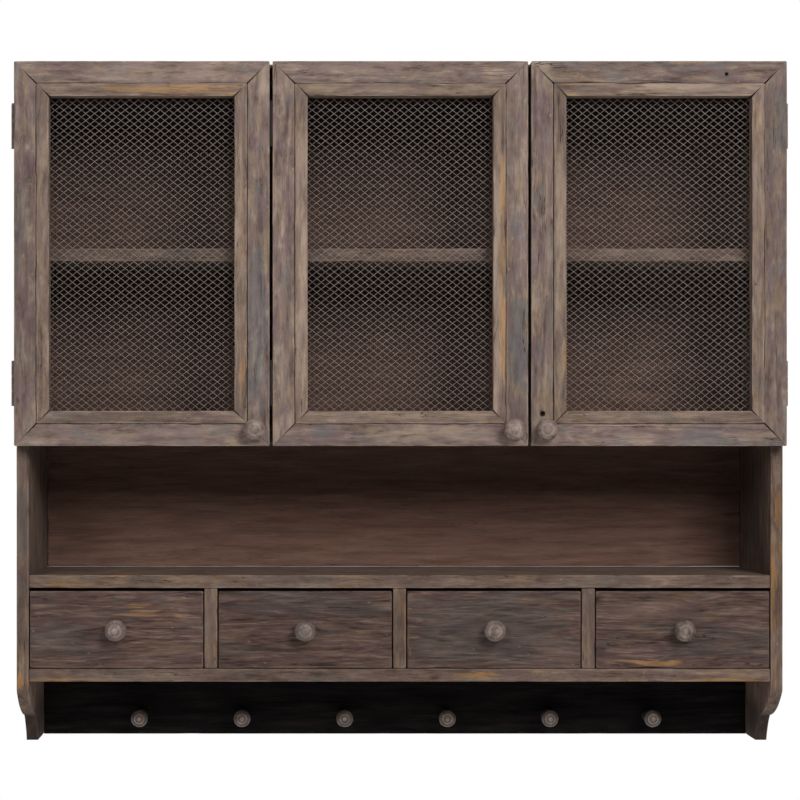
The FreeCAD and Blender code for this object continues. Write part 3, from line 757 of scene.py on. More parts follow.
class Wood(Look):
    """Weathered wood in the making. Its grain bends a little on its way."""

    def __init__(self, name, own_space):
        super().__init__(name)
        self.grain = self.own_space() if own_space else self.carried("grain", "Vector")
        self.wear = self.carried("wear", "Fac")
        self.edge = self.spread(self.wear, low=0.2, high=1)
        self.raw_mark, self.cool_mark, self.pale_mark = self.parts(self.carried("marks", "Vector"))
        sway = self.clouds(self.grain, along=9, across=45, detail=2) - 0.5
        self.bent = self.grain + sway * SWAY

    def figure(self, rings, knots_from):
        """Growth rings are level lines of a slow noise, crowded round the knots."""
        knots = self.scattered(self.bent, along=8, across=12, rarity=knots_from)
        self.hearts = self.spots(knots, near=0.03, far=0.09)
        age = self.clouds(self.bent, along=2.6, across=28, detail=1.5)
        age = age + self.spots(knots, near=0, far=0.32) * KNOT_PUSH
        self.rings = self.reckon("SINE", age * (2 * math.pi * rings)) * 0.5 + 0.5

    def tones(self, streaks, streak_length, broad_length, mottled):
        """Light and dark of fibres, streaks, mottling, broad bands and growth rings together."""
        self.fibre = self.blotches(self.bent, along=90, across=1500, low=0.32, high=0.68, detail=2)
        self.streak = self.blotches(self.bent, along=1 / streak_length, across=430, low=0.34, high=0.66,
                                    detail=3, roughness=0.6)
        self.broad = self.blotches(self.bent, along=1 / broad_length, across=110, low=0.36, high=0.64,
                                   detail=3)
        mottle = self.blotches(self.bent, along=75, across=140, low=0.36, high=0.64,
                               detail=5, roughness=0.65)
        layers = self.streak * streaks + mottle * mottled + self.broad * (LAYER_TONE - streaks - mottled)
        self.tone = self.fibre * FIBRE_TONE + layers + self.rings * RING_TONE

    def filmed(self, shade, film, share, place, along, across, start, marked=0):
        """A film that time has left in small blotches, and more of it where it is marked."""
        blots = self.clouds(self.grain + place, along, across, detail=5, roughness=0.62)
        blots = self.spread(blots + marked * FILM_PUSH, start, start + FILM_EDGE)
        film = self.mix(self.tone, scaled(film, 1 - FILM_CONTRAST), scaled(film, 1 + FILM_CONTRAST))
        return self.mix(blots * share, shade, film)

    def scraped(self, shade, raw, dark, raw_from):
        """Raw wood where the surface is scraped off."""
        bare = self.clouds(self.bent, along=11, across=170, roughness=0.6)
        bare = bare + self.raw_mark * RAW_PUSH + self.wear * WEAR_PUSH
        bare = self.spread(bare, raw_from, raw_from + RAW_EDGE)
        tone = self.spread(self.tone, low=0.15, high=0.85)
        raw = self.mix(tone, blended(raw, dark, RAW_CONTRAST), raw)
        return self.mix(bare * RAW_SHARE, shade, raw)

    def rubbed(self, shade, light, mottled):
        """Pale places: rubbed edges, pale marks, flecks and flaked lines."""
        edges = self.blotches(self.grain, along=30, across=60, low=0.40, high=0.58) * self.edge
        marks = self.spread(self.pale_mark, low=0, high=1) * (self.broad * PALE_BANDS + PALE_LEAST)
        flecks = self.scattered(self.bent, along=95, across=190, rarity=0.80)
        flecks = self.spots(flecks, near=0.08, far=0.24)
        flakes = self.clouds(self.grain, along=42, across=66, roughness=0.6)
        flakes = self.level_line(flakes, level=0.47, near=0.002, far=0.010)
        few = self.blotches(self.grain + FLAKES_PLACE, along=16, across=40, low=0.54, high=0.62, detail=2)
        flakes = flakes * few * (mottled * FLAKE_SHARE)
        pale = self.largest(edges * EDGE_SHARE, marks, flecks * FLECK_SHARE, flakes)
        return self.mix(pale, shade, scaled(light, RUBBED))

    def slowly_changed(self, shade):
        """A slow change of tone along a board, and from one board to the next."""
        slow = self.clouds(self.grain, along=1.3, across=1.7, detail=1)
        slow = self.spread(slow, low=0.3, high=0.7, way="LINEAR")
        return shade * (slow * (2 * SLOW_CONTRAST) + (1 - SLOW_CONTRAST))

    def hollows(self, cracked):
        """Dark places: drying cracks, knots' hearts, open pores, dirt on the edges and dark marks, some of
        them painted shade.
        """
        cracks = self.clouds(self.bent, along=7, across=190, detail=2)
        cracks = self.level_line(cracks, level=0.5, near=0.002, far=0.014)
        cracks = cracks * self.blotches(self.grain, along=14, across=50, low=0.56, high=0.62, detail=2)
        pores = self.blotches(self.bent, along=80, across=700, low=0.60, high=0.72, detail=2)
        dirt = self.blotches(self.grain + DIRT_PLACE, along=18, across=50, low=0.50, high=0.64) * self.edge
        marks = self.spread(self.pale_mark, low=0, high=-1)
        return self.largest(cracks * cracked, self.hearts * HEART_SHARE, pores * PORE_SHARE,
                            dirt * DIRT_SHARE, marks * DARK_SHARE)


def wood(name, dark, middle, light, raw, film, tan, cool, raw_from, rings,
         streaks=0.24, streak_length=0.06, broad_length=0.077, mottled=0, knots_from=0.68, cracked=0.8,
         rough=0.86, depth=0.0004, specular=0.08, own_space=False):
    """Weathered wood of three tones and of raw wood, under three films, each a colour and its share."""
    look = Wood(name, own_space)
    look.figure(rings, knots_from)
    look.tones(streaks, streak_length, broad_length, mottled)
    shade = look.mix(look.spread(look.tone, low=0.06, high=0.52), dark, middle)
    shade = look.mix(look.spread(look.tone, low=0.48, high=0.96), shade, light)
    shade = look.filmed(shade, *film, FILM_PLACE, along=24, across=60, start=0.45)
    shade = look.filmed(shade, *tan, TAN_PLACE, along=22, across=80, start=0.51)
    shade = look.filmed(shade, *cool, COOL_PLACE, along=28, across=72, start=0.52, marked=look.cool_mark)
    shade = look.scraped(shade, raw, dark, raw_from)
    shade = look.rubbed(shade, light, mottled)
    shade = look.slowly_changed(shade)
    hollows = look.hollows(cracked)
    shade = look.mix(hollows, shade, CRACK)
    roughness = rough - look.fibre * FIBRE_SHEEN
    height = look.fibre * FIBRE_RELIEF + look.streak * STREAK_RELIEF + look.rings * RING_RELIEF
    return look.finish(shade, roughness, height - hollows * HOLLOW_RELIEF, depth, specular)


def door_wood():
    return wood("door_wood", dark=(75, 50, 43), middle=(175, 125, 106),
                light=(310, 236, 186), raw=(370, 215, 105), film=((165, 112, 113), 0.7),
                tan=((262, 188, 122), 0.6), cool=((132, 132, 128), 0.55), raw_from=0.69, rings=7,
                streaks=0.18, streak_length=0.026, broad_length=0.036, mottled=0.20)


def bead_wood():
    return wood("bead_wood", dark=(75, 49, 38), middle=(180, 125, 98),
                light=(315, 236, 180), raw=(400, 235, 115), film=((165, 117, 110), 0.5),
                tan=((250, 180, 120), 0.6), cool=((140, 132, 116), 0.35), raw_from=0.66, rings=6,
                streaks=0.20, streak_length=0.035, broad_length=0.045, mottled=0.14)


def case_wood():
    return wood("case_wood", dark=(55, 35, 27), middle=(138, 91, 70),
                light=(235, 168, 128), raw=(330, 175, 70), film=((122, 83, 76), 0.5),
                tan=((200, 135, 80), 0.5), cool=((100, 94, 82), 0.45), raw_from=0.67, rings=7,
                streaks=0.20, streak_length=0.030, broad_length=0.040, mottled=0.16)


def drawer_wood():
    return wood("drawer_wood", dark=(29, 18, 15), middle=(86, 53, 44),
                light=(180, 122, 98), raw=(310, 165, 70), film=((90, 53, 50), 0.55),
                tan=((125, 80, 54), 0.5), cool=((68, 62, 56), 0.45), raw_from=0.71, rings=11,
                streaks=0.42, streak_length=0.03)


def back_wood():
    return wood("back_wood", dark=(106, 56, 41), middle=(140, 77, 57),
                light=(178, 104, 78), raw=(200, 110, 60), film=((132, 78, 64), 0.5),
                tan=((155, 90, 61), 0.4), cool=((108, 74, 60), 0.4), raw_from=0.72, rings=8,
                knots_from=1, cracked=0.3)


# Near black: a dark stain, and painted shade under the drawers, where the peg rail lies
def dark_wood():
    return wood("dark_wood", dark=(4, 3.4, 3.4), middle=(8.5, 7.2, 7),
                light=(18, 15, 13), raw=(40, 27, 17), film=((8.5, 7.5, 8.2), 0.5),
                tan=((12, 9, 7), 0.4), cool=((7.5, 8, 8), 0.4), raw_from=0.74, rings=7,
                specular=0.02)


def turned_wood(name="turned_wood", own_space=False):
    return wood(name, dark=(70, 48, 41), middle=(187, 132, 110),
                light=(333, 253, 209), raw=(330, 220, 130), film=((178, 131, 121), 0.5),
                tan=((240, 178, 133), 0.4), cool=((150, 137, 123), 0.35), raw_from=0.70, rings=5,
                rough=0.58, depth=0.00015, specular=0.3, own_space=own_space)


def box_wood():
    return wood("box_wood", dark=(150, 92, 50), middle=(290, 200, 122),
                light=(400, 295, 190), raw=(420, 280, 150), film=((250, 180, 125), 0.4),
                tan=((310, 220, 135), 0.4), cool=((210, 170, 125), 0.3), raw_from=0.68, rings=8)


# How dark the iron is painted near the cabinet's middle, as shade in the gap between the doors, and over
# what way it gets there
GAP_SHADE = 0.12
GAP_SHADE_FADE = 0.01
# How much rougher rust is, and what stands out of or into metal by how much of its depth
RUST_ROUGH = 0.25
GRIT_RELIEF = 0.5
PIT_RELIEF = 0.6


def metal(name, base, worn, rust, rust_share, metallic, rough, shaded_within=None):
    """Old metal: a clouded surface, rubbed bright in places, with rust in the pits.

    It is painted dark, as shade in the gap between the doors, nearer to the cabinet's middle than the
    distance given."""
    look = Look(name)
    place = look.own_space()
    rubbed = look.blotches(place, along=220, across=220, low=0.36, high=0.64, detail=5)
    pits = look.blotches(place, along=520, across=520, low=0.50, high=0.66, roughness=0.65)
    shade = look.mix(pits * rust_share, look.mix(rubbed, base, worn), rust)
    if shaded_within:
        away = abs(look.parts(place)[0])
        outside = look.spread(away, shaded_within, shaded_within + GAP_SHADE_FADE)
        shade = look.mix(outside, scaled(base, GAP_SHADE), shade)
    grit = look.clouds(place, along=1500, across=1500, detail=2)
    height = grit * GRIT_RELIEF - pits * PIT_RELIEF
    roughness = pits * RUST_ROUGH + rough
    return look.finish(shade, roughness, height, depth=0.00012, metallic=metallic, specular=0.15)


def mesh_wire():
    return metal("mesh_wire", base=(184, 157, 144), worn=(290, 254, 235),
                 rust=(120, 87, 69), rust_share=0.5, metallic=0, rough=0.7)


# The hinges by the middle of the cabinet are painted dark, as shade in the gap between the doors
def hinge_iron():
    return metal("hinge_iron", base=(150, 118, 108), worn=(235, 190, 172),
                 rust=(120, 75, 54), rust_share=0.6, metallic=0, rough=0.7, shaded_within=0.3)


def nail_iron():
    return metal("nail_iron", base=(45, 38, 34), worn=(110, 95, 85),
                 rust=(85, 45, 26), rust_share=0.8, metallic=0.3, rough=0.55)


def catch_metal():
    return metal("catch_metal", base=(160, 150, 140), worn=(300, 285, 270),
                 rust=(110, 70, 45), rust_share=0.35, metallic=0.6, rough=0.4)


def pin_wood():
    return turned_wood("pin_wood", own_space=True)


LOOKS = {make.__name__: make() for make in (
    door_wood, bead_wood, case_wood, drawer_wood, back_wood, dark_wood, turned_wood, box_wood, pin_wood,
    mesh_wire, hinge_iron, nail_iron, catch_metal,
)}


# Outline of a side's foot, in metres: where it leaves the front edge, where its curve turns, where it ends
FOOT_HEIGHT = 0.067
FOOT_BREAK = Vector((0.067, 0.0315))
FOOT_RECESS = 0.088
FOOT_UPPER_RADIUS = 0.110
FOOT_LOWER_RADIUS = 0.070
ARC_STEPS = 10

# Marks on the sides, counted up from the foot and inward from the front: on both, then on each. The first on
# both is painted shade on the foot.
SIDE_MARKS = [mark(DARK * 0.75, 16, 90, 42, 62), mark(DARK * 0.25, 230, 0, 180, 10)]
OWN_SIDE_MARKS = {
    "left": [mark(RAW * 0.8, 76, 0, 10, 12), mark(COOL * 0.5, 250, 0, 100, 12)],
    "right": [mark(RAW * 0.55, 200, 0, 150, 12), mark(DARK * 0.45, 265, 105, 90, 90)],
}


def arc(start, end, radius, bulge):
    """Points from start up to end on an arc that bulges to the right of its way, or to the left at -1."""
    chord = end - start
    middle = (start + end) / 2
    side = Vector((chord.y, -chord.x)).normalized() * bulge
    centre = middle - side * math.sqrt(radius ** 2 - chord.length_squared / 4)
    first = math.atan2(start.y - centre.y, start.x - centre.x)
    turn = 2 * math.asin(chord.length / 2 / radius) * bulge
    angles = [first + turn * index / ARC_STEPS for index in range(ARC_STEPS)]
    return [centre + radius * Vector((math.cos(angle), math.sin(angle))) for angle in angles]


def side_outline(low, high):
    """A side seen from the left, from its foot's back corner round to its foot's front corner."""
    front = low.y
    leaves = Vector((front, low.z + FOOT_HEIGHT))
    turns = Vector((front, low.z)) + FOOT_BREAK
    ends = Vector((front + FOOT_RECESS, low.z))
    corners = [Vector((high.y, low.z)), Vector((high.y, high.z)), Vector((front, high.z))]
    upper = arc(leaves, turns, FOOT_UPPER_RADIUS, 1)
    lower = arc(turns, ends, FOOT_LOWER_RADIUS, -1)
    return corners + upper + lower + [ends]


def partition_outline(low, high):
    """A partition seen from the left, with its notch for the hanging rail."""
    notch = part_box("hanging_rail")[0]
    return [Vector((low.y, low.z)), Vector((high.y, low.z)), Vector((high.y, notch.z)),
            Vector((notch.y, notch.z)), Vector((notch.y, high.z)), Vector((low.y, high.z))]


def upright(node, outline, marks=()):
    """A side or a partition of the case."""
    low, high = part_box(node)
    timber = Timber(node, "case", "case_wood")

    def place(p, q, t):
        return Vector((low.x + t, p, q))

    marks = [each.moved(low.z, low.y) for each in marks]
    cut_board(timber, outline(low, high), [], place, high.x - low.x, node, upright_grain=True, marks=marks)
    timber.done()


def wall_holes():
    """Centre and radius of each hole for a wall screw, from the record's mounts."""
    holes = []
    for mount in frame["record"]["mounts"]:
        if mount["kind"] == "bolt_pattern":
            x, _, z = mount["pos_m"]
            half = mount["dims"]["spacing_x_mm"] / 2 / MILLIMETRES
            radius = mount["dims"]["hole_r_mm"] / MILLIMETRES
            holes += [(Vector((x - half, z)), radius), (Vector((x + half, z)), radius)]
    return holes


def wall_board(timber, low, high, seed, marks, edge=ARRIS):
    """A board flat against the wall, with those wall holes that fall on it."""
    outline = [Vector((low.x, low.z)), Vector((high.x, low.z))]
    outline += [Vector((high.x, high.z)), Vector((low.x, high.z))]
    holes = [circle(centre, radius) for centre, radius in wall_holes() if low.z < centre.y < high.z]

    def place(p, q, t):
        return Vector((p, low.y + t, q))

    cut_board(timber, outline, holes, place, high.y - low.y, seed, upright_grain=False, marks=marks,
              edge=edge)


def painted_top_shade(share, low, high):
    """Painted shade on a wall board, strongest at its top, that reaches past its foot."""
    return Mark(DARK * share, high.z, 0, 2 * (high.z - low.z), high.x - low.x)


# How strong the painted shade is on the bays' back boards and on the hanging rail
BACK_TOP_SHADE = 0.3
RAIL_TOP_SHADE = 0.7
# Painted light on the back boards below the cupboard, lightest at the counter's top, and how far it reaches
LOW_PAINTED_LIGHT = 0.35
LOW_PAINTED_LIGHT_REACH = 0.080


def back_boards():
    """The back: boards laid across, with a seam along the counter and the others behind shelves."""
    low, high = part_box("back_panel")
    middles = []
    for node in ("counter_shelf", "cupboard_floor", "shelf_middle"):
        shelf_low, shelf_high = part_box(node)
        middles.append((shelf_low.z + shelf_high.z) / 2)
    levels = [low.z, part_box("counter_shelf")[1].z, *middles[1:], high.z]
    cupboard = levels[2]
    # Painted shade on the boards behind the bays, strongest under the top
    top_shade = painted_top_shade(BACK_TOP_SHADE, Vector((low.x, low.y, cupboard)), high)
    # Painted light round the counter's top on the boards below the cupboard
    low_light = Mark(PALE * LOW_PAINTED_LIGHT, levels[1], 0, LOW_PAINTED_LIGHT_REACH, high.x - low.x)
    timber = Timber("back_panel", "case", "back_wood")
    for bottom, top, shelf in zip(levels, levels[1:], [low.z, *middles]):
        marks = [top_shade] if bottom >= cupboard else [low_light]
        start = Vector((low.x, low.y, bottom))
        end = Vector((high.x, high.y, top))
        wall_board(timber, start, end, f"back {shelf:.3f}", marks, edge=BACK_ARRIS)
    timber.done()


def rail(node, slot, top_shade=0):
    """A rail that screws to the wall, which may carry painted shade that is strongest at its top."""
    low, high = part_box(node)
    timber = Timber(node, "case", slot)
    wall_board(timber, low, high, node, [painted_top_shade(top_shade, low, high)])
    timber.done()


EDGE_MARKS = {
    "counter_shelf": [mark(RAW * 0.5, 64, 7, 56, 8), mark(COOL * 0.5, 640, 7, 60, 8)],
    "drawer_floor": [mark(RAW * 0.7, 65, 11.5, 56, 3.5), mark(RAW * 0.85, 775, 11.5, 56, 3.5),
                     mark(RAW * 0.7, 503, 6.5, 30, 3), mark(COOL * 0.6, 330, 10, 40, 6)],
    "drawer_divider_left": [mark(RAW * 0.5, 45, 12.5, 45, 3.5), mark(PALE * 0.35, 45, 4, 45, 5)],
    "drawer_divider_middle": [mark(DARK * 0.5, 45, 7.5, 50, 9), mark(RAW * 0.5, 45, 12, 45, 3.5)],
    "drawer_divider_right": [mark(DARK * 0.25, 45, 7.5, 50, 9)],
}


def case_board(node, grain):
    """A shelf, floor, top or divider of the case."""
    timber = Timber(node, "case", "case_wood")
    board(timber, *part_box(node), grain, node, gap=0.006, marks=EDGE_MARKS.get(node, ()))
    timber.done()


def peak(value, centre, width):
    """A bell that is 1 at its centre."""
    return math.exp(-((value - centre) / width) ** 2)


# Tints of a turned piece: painted shade on its foot and neck under the head, and its rings, pale tip and
# pale band by the radius of its head
FOOT_SHADE = -0.5
NECK_SHADE = -0.4
RING_TINT = -0.25
TIP_TINT = 0.6
BAND_TINT = 0.4
RINGS_AT = (0.36, 0.72)
RING_WIDTH = 0.06
RING_DEPTH = 0.022
TIP_WIDTH = 0.26
BAND_AT = 0.56
BAND_WIDTH = 0.09
NECK_STEP = 0.2
HEAD_STEP = 0.16
CROWN_STEP = 0.04


def turned_profile(foot, neck, neck_at, head, head_at, length):
    """Outline of a knob or peg: foot and neck painted dark as shade under the head, round head and crown,
    with rings round a pale tip.
    """
    points = [(0, foot, FOOT_SHADE)]
    for share in steps(0, 1, NECK_STEP)[1:]:
        points.append((neck_at * share, foot + (neck - foot) * math.sin(share * math.pi / 2), NECK_SHADE))
    for share in steps(0, 1, HEAD_STEP)[1:]:
        angle = share * math.pi / 2
        out = neck + (head - neck) * math.sin(angle)
        points.append((neck_at + (head_at - neck_at) * (1 - math.cos(angle)), out, NECK_SHADE * (1 - share)))
    for share in steps(0, 1, CROWN_STEP)[1:]:
        angle = share * math.pi / 2
        from_axis = math.cos(angle)
        ring = sum(peak(from_axis, place, RING_WIDTH) for place in RINGS_AT)
        tint = TIP_TINT * peak(from_axis, 0, TIP_WIDTH) + BAND_TINT * peak(from_axis, BAND_AT, BAND_WIDTH)
        distance = head_at + (length - head_at) * math.sin(angle) - RING_DEPTH * head * ring
        points.append((distance, head * from_axis, tint + RING_TINT * ring))
    return points


def knob(node, seat_y, body, tint_shift):
    """A round turned knob, seated on the face it is pulled by."""
    low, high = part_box(node)
    timber = Timber(node, body, "turned_wood", made="turned")
    seat = Vector(((low.x + high.x) / 2, seat_y, (low.z + high.z) / 2))
    head = (high.x - low.x) / 2
    profile = turned_profile(foot=0.65 * head, neck=0.49 * head, neck_at=0.0060, head=head, head_at=0.0145,
                             length=seat_y - low.y)
    turned(timber, seat, profile, node, tint_shift)
    timber.done()


PEGS = 6
PEG_HEAD = 0.0100


def pegs():
    """The row of pegs along the rail."""
    low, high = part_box("pegs")
    seat_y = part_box("peg_rail")[0].y
    timber = Timber("pegs", "case", "turned_wood", made="turned")
    profile = turned_profile(foot=0.0080, neck=0.0055, neck_at=0.0280, head=PEG_HEAD, head_at=0.0380,
                             length=seat_y - low.y)
    places = steps(low.x + PEG_HEAD, high.x - PEG_HEAD, (high.x - low.x) / (PEGS - 1))
    for index, x in enumerate(places):
        seat = Vector((x, seat_y, (low.z + high.z) / 2))
        # The pegs are darkened as painted shade under the drawers
        turned(timber, seat, profile, f"peg {index}", tint_shift=-0.62)
    timber.done()


BEAD_WIDTH = 0.0145
SLIP_WIDTH = 0.0120
BEAD_MARKS = {
    "left": {
        "top": [mark(RAW, 145, 6.5, 90, 6), mark(DARK * 0.3, 120, 7, 115, 9)],
        "right": [mark(RAW * 0.45, 235, 6, 150, 6), mark(PALE * 0.6, 170, 10, 165, 7)],
        "left": [mark(PALE * 0.35, 240, 8, 120, 8)],
        "bottom": [mark(DARK * 0.4, 120, 7, 115, 9)],
    },
    "middle": {
        "left": [mark(PALE * 0.65, 190, 8, 190, 9)],
        "right": [mark(RAW * 0.75, 190, 5, 190, 5), mark(PALE * 0.8, 190, 11, 190, 6)],
        "top": [mark(PALE * 0.35, 120, 8, 110, 8)],
        "bottom": [mark(PALE * 0.45, 120, 10, 110, 7)],
    },
    "right": {
        "left": [mark(PALE * 0.55, 190, 8, 190, 9), mark(RAW * 0.8, 75, 11, 30, 4)],
        "right": [mark(PALE * 0.45, 190, 9, 190, 8), mark(RAW * 0.45, 190, 4, 170, 4)],
        "top": [mark(PALE * 0.55, 150, 5, 90, 6)],
        "bottom": [mark(RAW * 0.55, 165, 8, 14, 5), mark(PALE * 0.3, 110, 10, 100, 7)],
    },
}
FRAME_MARKS = {
    "left": {
        "top": [mark(RAW * 0.25, 155, 10, 60, 8), mark(PALE * 0.45, 170, 12, 100, 12)],
        "bottom": [mark(PALE * 0.35, 140, 12, 120, 12)],
        "left": [mark(PALE * 0.9, 333, 15.5, 4, 3), mark(COOL * 0.6, 270, 8, 25, 12),
                 mark(DARK * 0.27, 214, 12.5, 250, 30)],
        "right": [mark(COOL * 0.9, 300, 15, 100, 12), mark(PALE * 0.4, 60, 6, 60, 6)],
    },
    "middle": {
        "top": [mark(PALE * 0.3, 90, 10, 70, 10)],
        "bottom": [mark(COOL * 0.7, 230, 15, 16, 12), mark(PALE * 0.45, 110, 12, 95, 12)],
        "left": [mark(PALE * 0.45, 70, 15, 50, 6)],
        "right": [mark(COOL * 0.9, 320, 12, 60, 12), mark(PALE * 0.35, 120, 4, 120, 4),
                  mark(DARK * 0.27, 214, 15, 250, 14)],
    },
    "right": {
        "top": [mark(COOL * 0.7, 190, 6, 40, 6), mark(RAW * 0.3, 222, 10, 22, 3)],
        "bottom": [mark(COOL * 0.6, 90, 6, 50, 7), mark(PALE * 0.4, 170, 10, 60, 8)],
        "left": [mark(PALE * 0.4, 200, 19, 190, 5)],
        "right": [mark(COOL * 0.8, 70, 6, 35, 9), mark(RAW * 0.3, 330, 6, 70, 7),
                  mark(DARK * 0.22, 214, 12.5, 250, 30)],
    },
}
# Dents in the door frames; the holes among them are painted dark, as shade inside them
FRAME_DENTS = {
    "left": {"left": [Dent(0.3315, 0.0165, 0.0022, 0.0008)]},
    "middle": {"left": [Dent(0.0740, 0.0225, 0.0018, 0.0008)]},
    "right": {"left": [Dent(0.0358, 0.0129, 0.0026, 0.0050, hole_shade=1.6)],
              "top": [Dent(0.2175, 0.0146, 0.0018, 0.0030, hole_shade=1.6)]},
}
# Wear near a door frame's corners: how far from them, and the range of its strength and half length
FROM_CORNER = 0.010
CORNER_WEAR = (0.1, 0.75)
CORNER_REACH = (0.014, 0.034)


def corner_wear(seed, length):
    """Pale wear at both mitred ends of a member, stronger at some than at others."""
    draw = random.Random(seed)
    return [Mark(PALE * draw.uniform(*CORNER_WEAR), along=place, across=0.012,
                 half_length=draw.uniform(*CORNER_REACH), half_width=0.018)
            for place in (FROM_CORNER, length - FROM_CORNER)]


def frame_marks(name, size):
    """All marks on a door's frame, by member."""
    marks = {}
    for member, own in FRAME_MARKS[name].items():
        length = size.x if member in ("top", "bottom") else size.z
        marks[member] = own + corner_wear(f"{name} {member}", length)
    return marks


def framed(body, part, slot, width, seed, **more):
    """One of a door's parts that is made of four mitred members."""
    node = f"{body}_{part}"
    timber = Timber(node, body, slot)
    mitred_frame(timber, *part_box(node), width, seed, **more)
    timber.done()


def door(name):
    """One door: frame, bead, slips, wire mesh and knob."""
    body = f"door_{name}"
    low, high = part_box(f"{body}_frame")
    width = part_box(f"{body}_bead")[0].x - low.x
    framed(body, "frame", "door_wood", width, f"{name} frame", gap=FINE_GAP,
           marks=frame_marks(name, high - low), dents=FRAME_DENTS[name])
    framed(body, "bead", "bead_wood", BEAD_WIDTH, f"{name} bead", gap=FINE_GAP, marks=BEAD_MARKS[name])
    framed(body, "mesh_slips", "bead_wood", SLIP_WIDTH, f"{name} slips", gap=0.010)
    mesh = f"{body}_mesh"
    woven = f"{mesh}_woven"
    placed(woven, diamond_mesh(woven, *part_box(mesh)), body, "mesh_wire", mesh)
    knob(f"{body}_knob", low.y, body, tint_shift=0.22)


FRONT_MARKS = {
    1: [mark(RAW * 0.85, 176, 6, 17, 5), mark(RAW * 0.35, 140, 35, 55, 34),
        mark(COOL * 0.8, 30, 55, 34, 20), mark(DARK * 0.25, 30, 43, 70, 50)],
    2: [mark(COOL * 0.85, 98, 12, 98, 17)],
    3: [mark(COOL * 0.9, 98, 43, 98, 43), mark(PALE * 0.5, 30, 70, 22, 5),
        mark(PALE * 0.4, 160, 66, 30, 14), mark(PALE * 0.8, 3, 69, 2, 5)],
    4: [mark(RAW, 54, 81.5, 52, 3.8), mark(COOL * 0.75, 130, 60, 60, 16), mark(PALE * 0.35, 60, 22, 55, 16)],
}
BOX_WALL = 0.010
BOX_FLOOR_UP = 0.006
BOX_FLOOR = 0.004


def drawer(number):
    """One drawer: its front with the knob, and behind it a box of two sides, a back and a bottom."""
    body = f"drawer_{number}"
    low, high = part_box(f"{body}_front")
    timber = Timber(f"{body}_front", body, "drawer_wood")
    board(timber, low, high, RIGHT, f"{body} front", gap=FINE_GAP, marks=FRONT_MARKS[number])
    timber.done()
    knob(f"{body}_knob", low.y, body, tint_shift=-0.33)
    low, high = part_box(f"{body}_box")
    left = low.x + BOX_WALL
    right = high.x - BOX_WALL
    behind = high.y - BOX_WALL
    floor = low.z + BOX_FLOOR_UP
    boards = {
        "left": (low, Vector((left, high.y, high.z)), INWARD),
        "right": (Vector((right, low.y, low.z)), high, INWARD),
        "back": (Vector((left, behind, low.z)), Vector((right, high.y, high.z)), RIGHT),
        "bottom": (Vector((left, low.y, floor)), Vector((right, behind, floor + BOX_FLOOR)), RIGHT),
    }
    timber = Timber(f"{body}_box", body, "box_wood", made="sawn")
    for name, (start, end, grain) in boards.items():
        board(timber, start, end, grain, f"{body} {name}")
    timber.done()


EASED_EDGE = 0.0002


def carry_over(look, *nodes):
    """Gives CAD nodes that stay as they are a worn finish and slightly eased edges."""
    for node in nodes:
        piece = frame["nodes"][node]
        piece.data.materials.clear()
        piece.data.materials.append(LOOKS[look])
        ease = piece.modifiers.new("eased edges", "BEVEL")
        ease.width = EASED_EDGE
        ease.segments = 2
        ease.limit_method = "ANGLE"


def build():
    for side in ("left", "right"):
        upright(f"side_{side}", side_outline, SIDE_MARKS + OWN_SIDE_MARKS[side])
        upright(f"partition_{side}", partition_outline)
    for node in ("top_board", "cupboard_floor", "counter_shelf", "drawer_floor"):
        case_board(node, RIGHT)
    for place in THIRDS:
        case_board(f"shelf_{place}", RIGHT)
    for place in THIRDS:
        case_board(f"drawer_divider_{place}", UP)
    back_boards()
    rail("hanging_rail", "back_wood", RAIL_TOP_SHADE)
    # The peg rail's near-black wood is partly painted shade under the drawers
    rail("peg_rail", "dark_wood")
    pegs()
    for name in THIRDS:
        door(name)
        carry_over("hinge_iron", f"door_{name}_hinge_leaves", f"door_{name}_hinge_screws")
        carry_over("catch_metal", f"door_{name}_striker")
    for number in DRAWERS:
        drawer(number)
    carry_over("hinge_iron", "hinge_case_leaves", "hinge_pins", "hinge_case_screws")
    carry_over("nail_iron", "case_nails")
    carry_over("catch_metal", "catch_magnets")
    carry_over("pin_wood", "shelf_pins")


# Stage, light and camera
FLOOR_LEVEL = -1.45
FLOOR_CORNERS = ((-3.5, -3.6), (3.5, -3.6), (3.5, 2.4), (-3.5, 2.4))
FLOOR_DARK = (820, 820, 820)
FLOOR_LIGHT = (860, 860, 855)
# The floor's own light under the cabinet, and where and how soon that rises to white
FLOOR_LIFT = 0.5
FLOOR_FADE = 3.3
FADED_BY = 0.6
EVEN_LIGHT = 0.022
CENTRE = Vector((0, -0.1, -0.35))


def floor_paint():
    """Pale paint that turns white towards the floor's edges and takes the cabinet's shadow."""
    look = Look("floor_paint")
    place = look.own_space()
    shade = look.mix(look.clouds(place, along=3, across=3), FLOOR_DARK, FLOOR_LIGHT)
    grit = look.clouds(place, along=400, across=400, detail=2)
    around = place * (1 / FLOOR_FADE, 1 / FLOOR_FADE, 0)
    middle = look.add("TexGradient", ["Fac"], {"Vector": around}, gradient_type="SPHERICAL")[0]
    lift = look.spread(middle, 0, FADED_BY) * (FLOOR_LIFT - 1) + 1
    look.put(look.seen() * lift, look.shader.inputs["Emission Strength"])
    look.put(WHITE, look.shader.inputs["Emission Color"])
    return look.finish(shade, roughness=0.8, height=grit, depth=0.0001, specular=0.3)


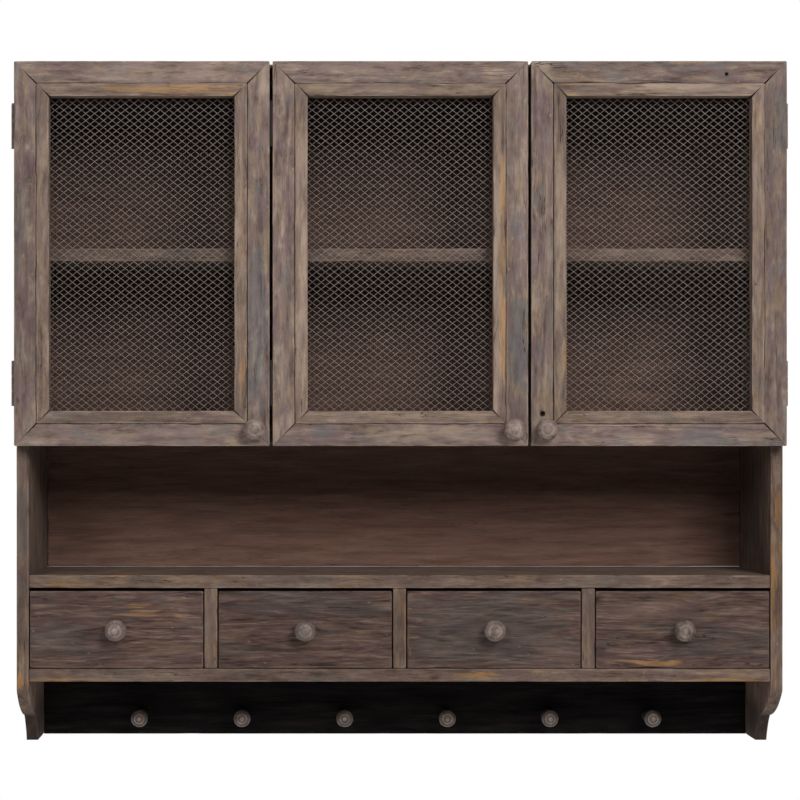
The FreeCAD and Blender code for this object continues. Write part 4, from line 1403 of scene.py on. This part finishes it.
def pale_floor():
    """A plain pale floor below the cabinet."""
    data = bpy.data.meshes.new("floor")
    data.from_pydata([(x, y, FLOOR_LEVEL) for x, y in FLOOR_CORNERS], [], [(0, 1, 2, 3)])
    data.materials.append(floor_paint())
    floor = bpy.data.objects.new("floor", data)
    bpy.context.scene.collection.objects.link(floor)


def lamp(name, place, size, power):
    """A soft lamp that looks at the cabinet's middle."""
    data = bpy.data.lights.new(name, "AREA")
    data.shape = "RECTANGLE"
    data.size, data.size_y = size
    data.energy = power
    piece = bpy.data.objects.new(name, data)
    piece.location = place
    piece.rotation_euler = (CENTRE - Vector(place)).to_track_quat("-Z", "Y").to_euler()
    piece.visible_camera = False
    bpy.context.scene.collection.objects.link(piece)


def daylight():
    """Soft even light, with white where the camera or a reflection looks past the cabinet."""
    world = bpy.data.worlds.new("studio")
    bpy.context.scene.world = world
    world.use_nodes = True
    sky = Tree(world.node_tree)
    sky.nodes.remove(sky.nodes["Background"])
    even = sky.add("Background", [0], {"Color": WHITE, "Strength": EVEN_LIGHT})[0]
    white = sky.add("Background", [0], {"Color": WHITE, "Strength": 1})[0]
    choice = sky.add("MixShader", [0], {0: sky.seen(), 1: even, 2: white})[0]
    sky.put(choice, sky.nodes["World Output"].inputs["Surface"])


def camera():
    """The photograph's view: level and square on, its frame shifted to the right of the lens and up."""
    data = bpy.data.cameras.new("camera")
    data.sensor_width = 36
    data.lens = 99.28
    data.shift_x = 0.1119
    data.shift_y = 0.0538
    piece = bpy.data.objects.new("camera", data)
    piece.location = (-0.100, -2.655, -0.390)
    piece.rotation_euler = (math.radians(90), 0, 0)
    bpy.context.scene.collection.objects.link(piece)
    bpy.context.scene.camera = piece


build()
pale_floor()
lamp("right", place=(1.10, -2.8, 0.95), size=(1.1, 1.3), power=75)
lamp("left", place=(-1.60, -2.8, 0.95), size=(1.2, 1.3), power=32)
for side in (-1, 1):
    lamp("behind", place=(2.4 * side, 1.6, 0.7), size=(1.6, 1.6), power=50)
daylight()
camera()
bpy.context.scene.view_settings.view_transform = "Standard"
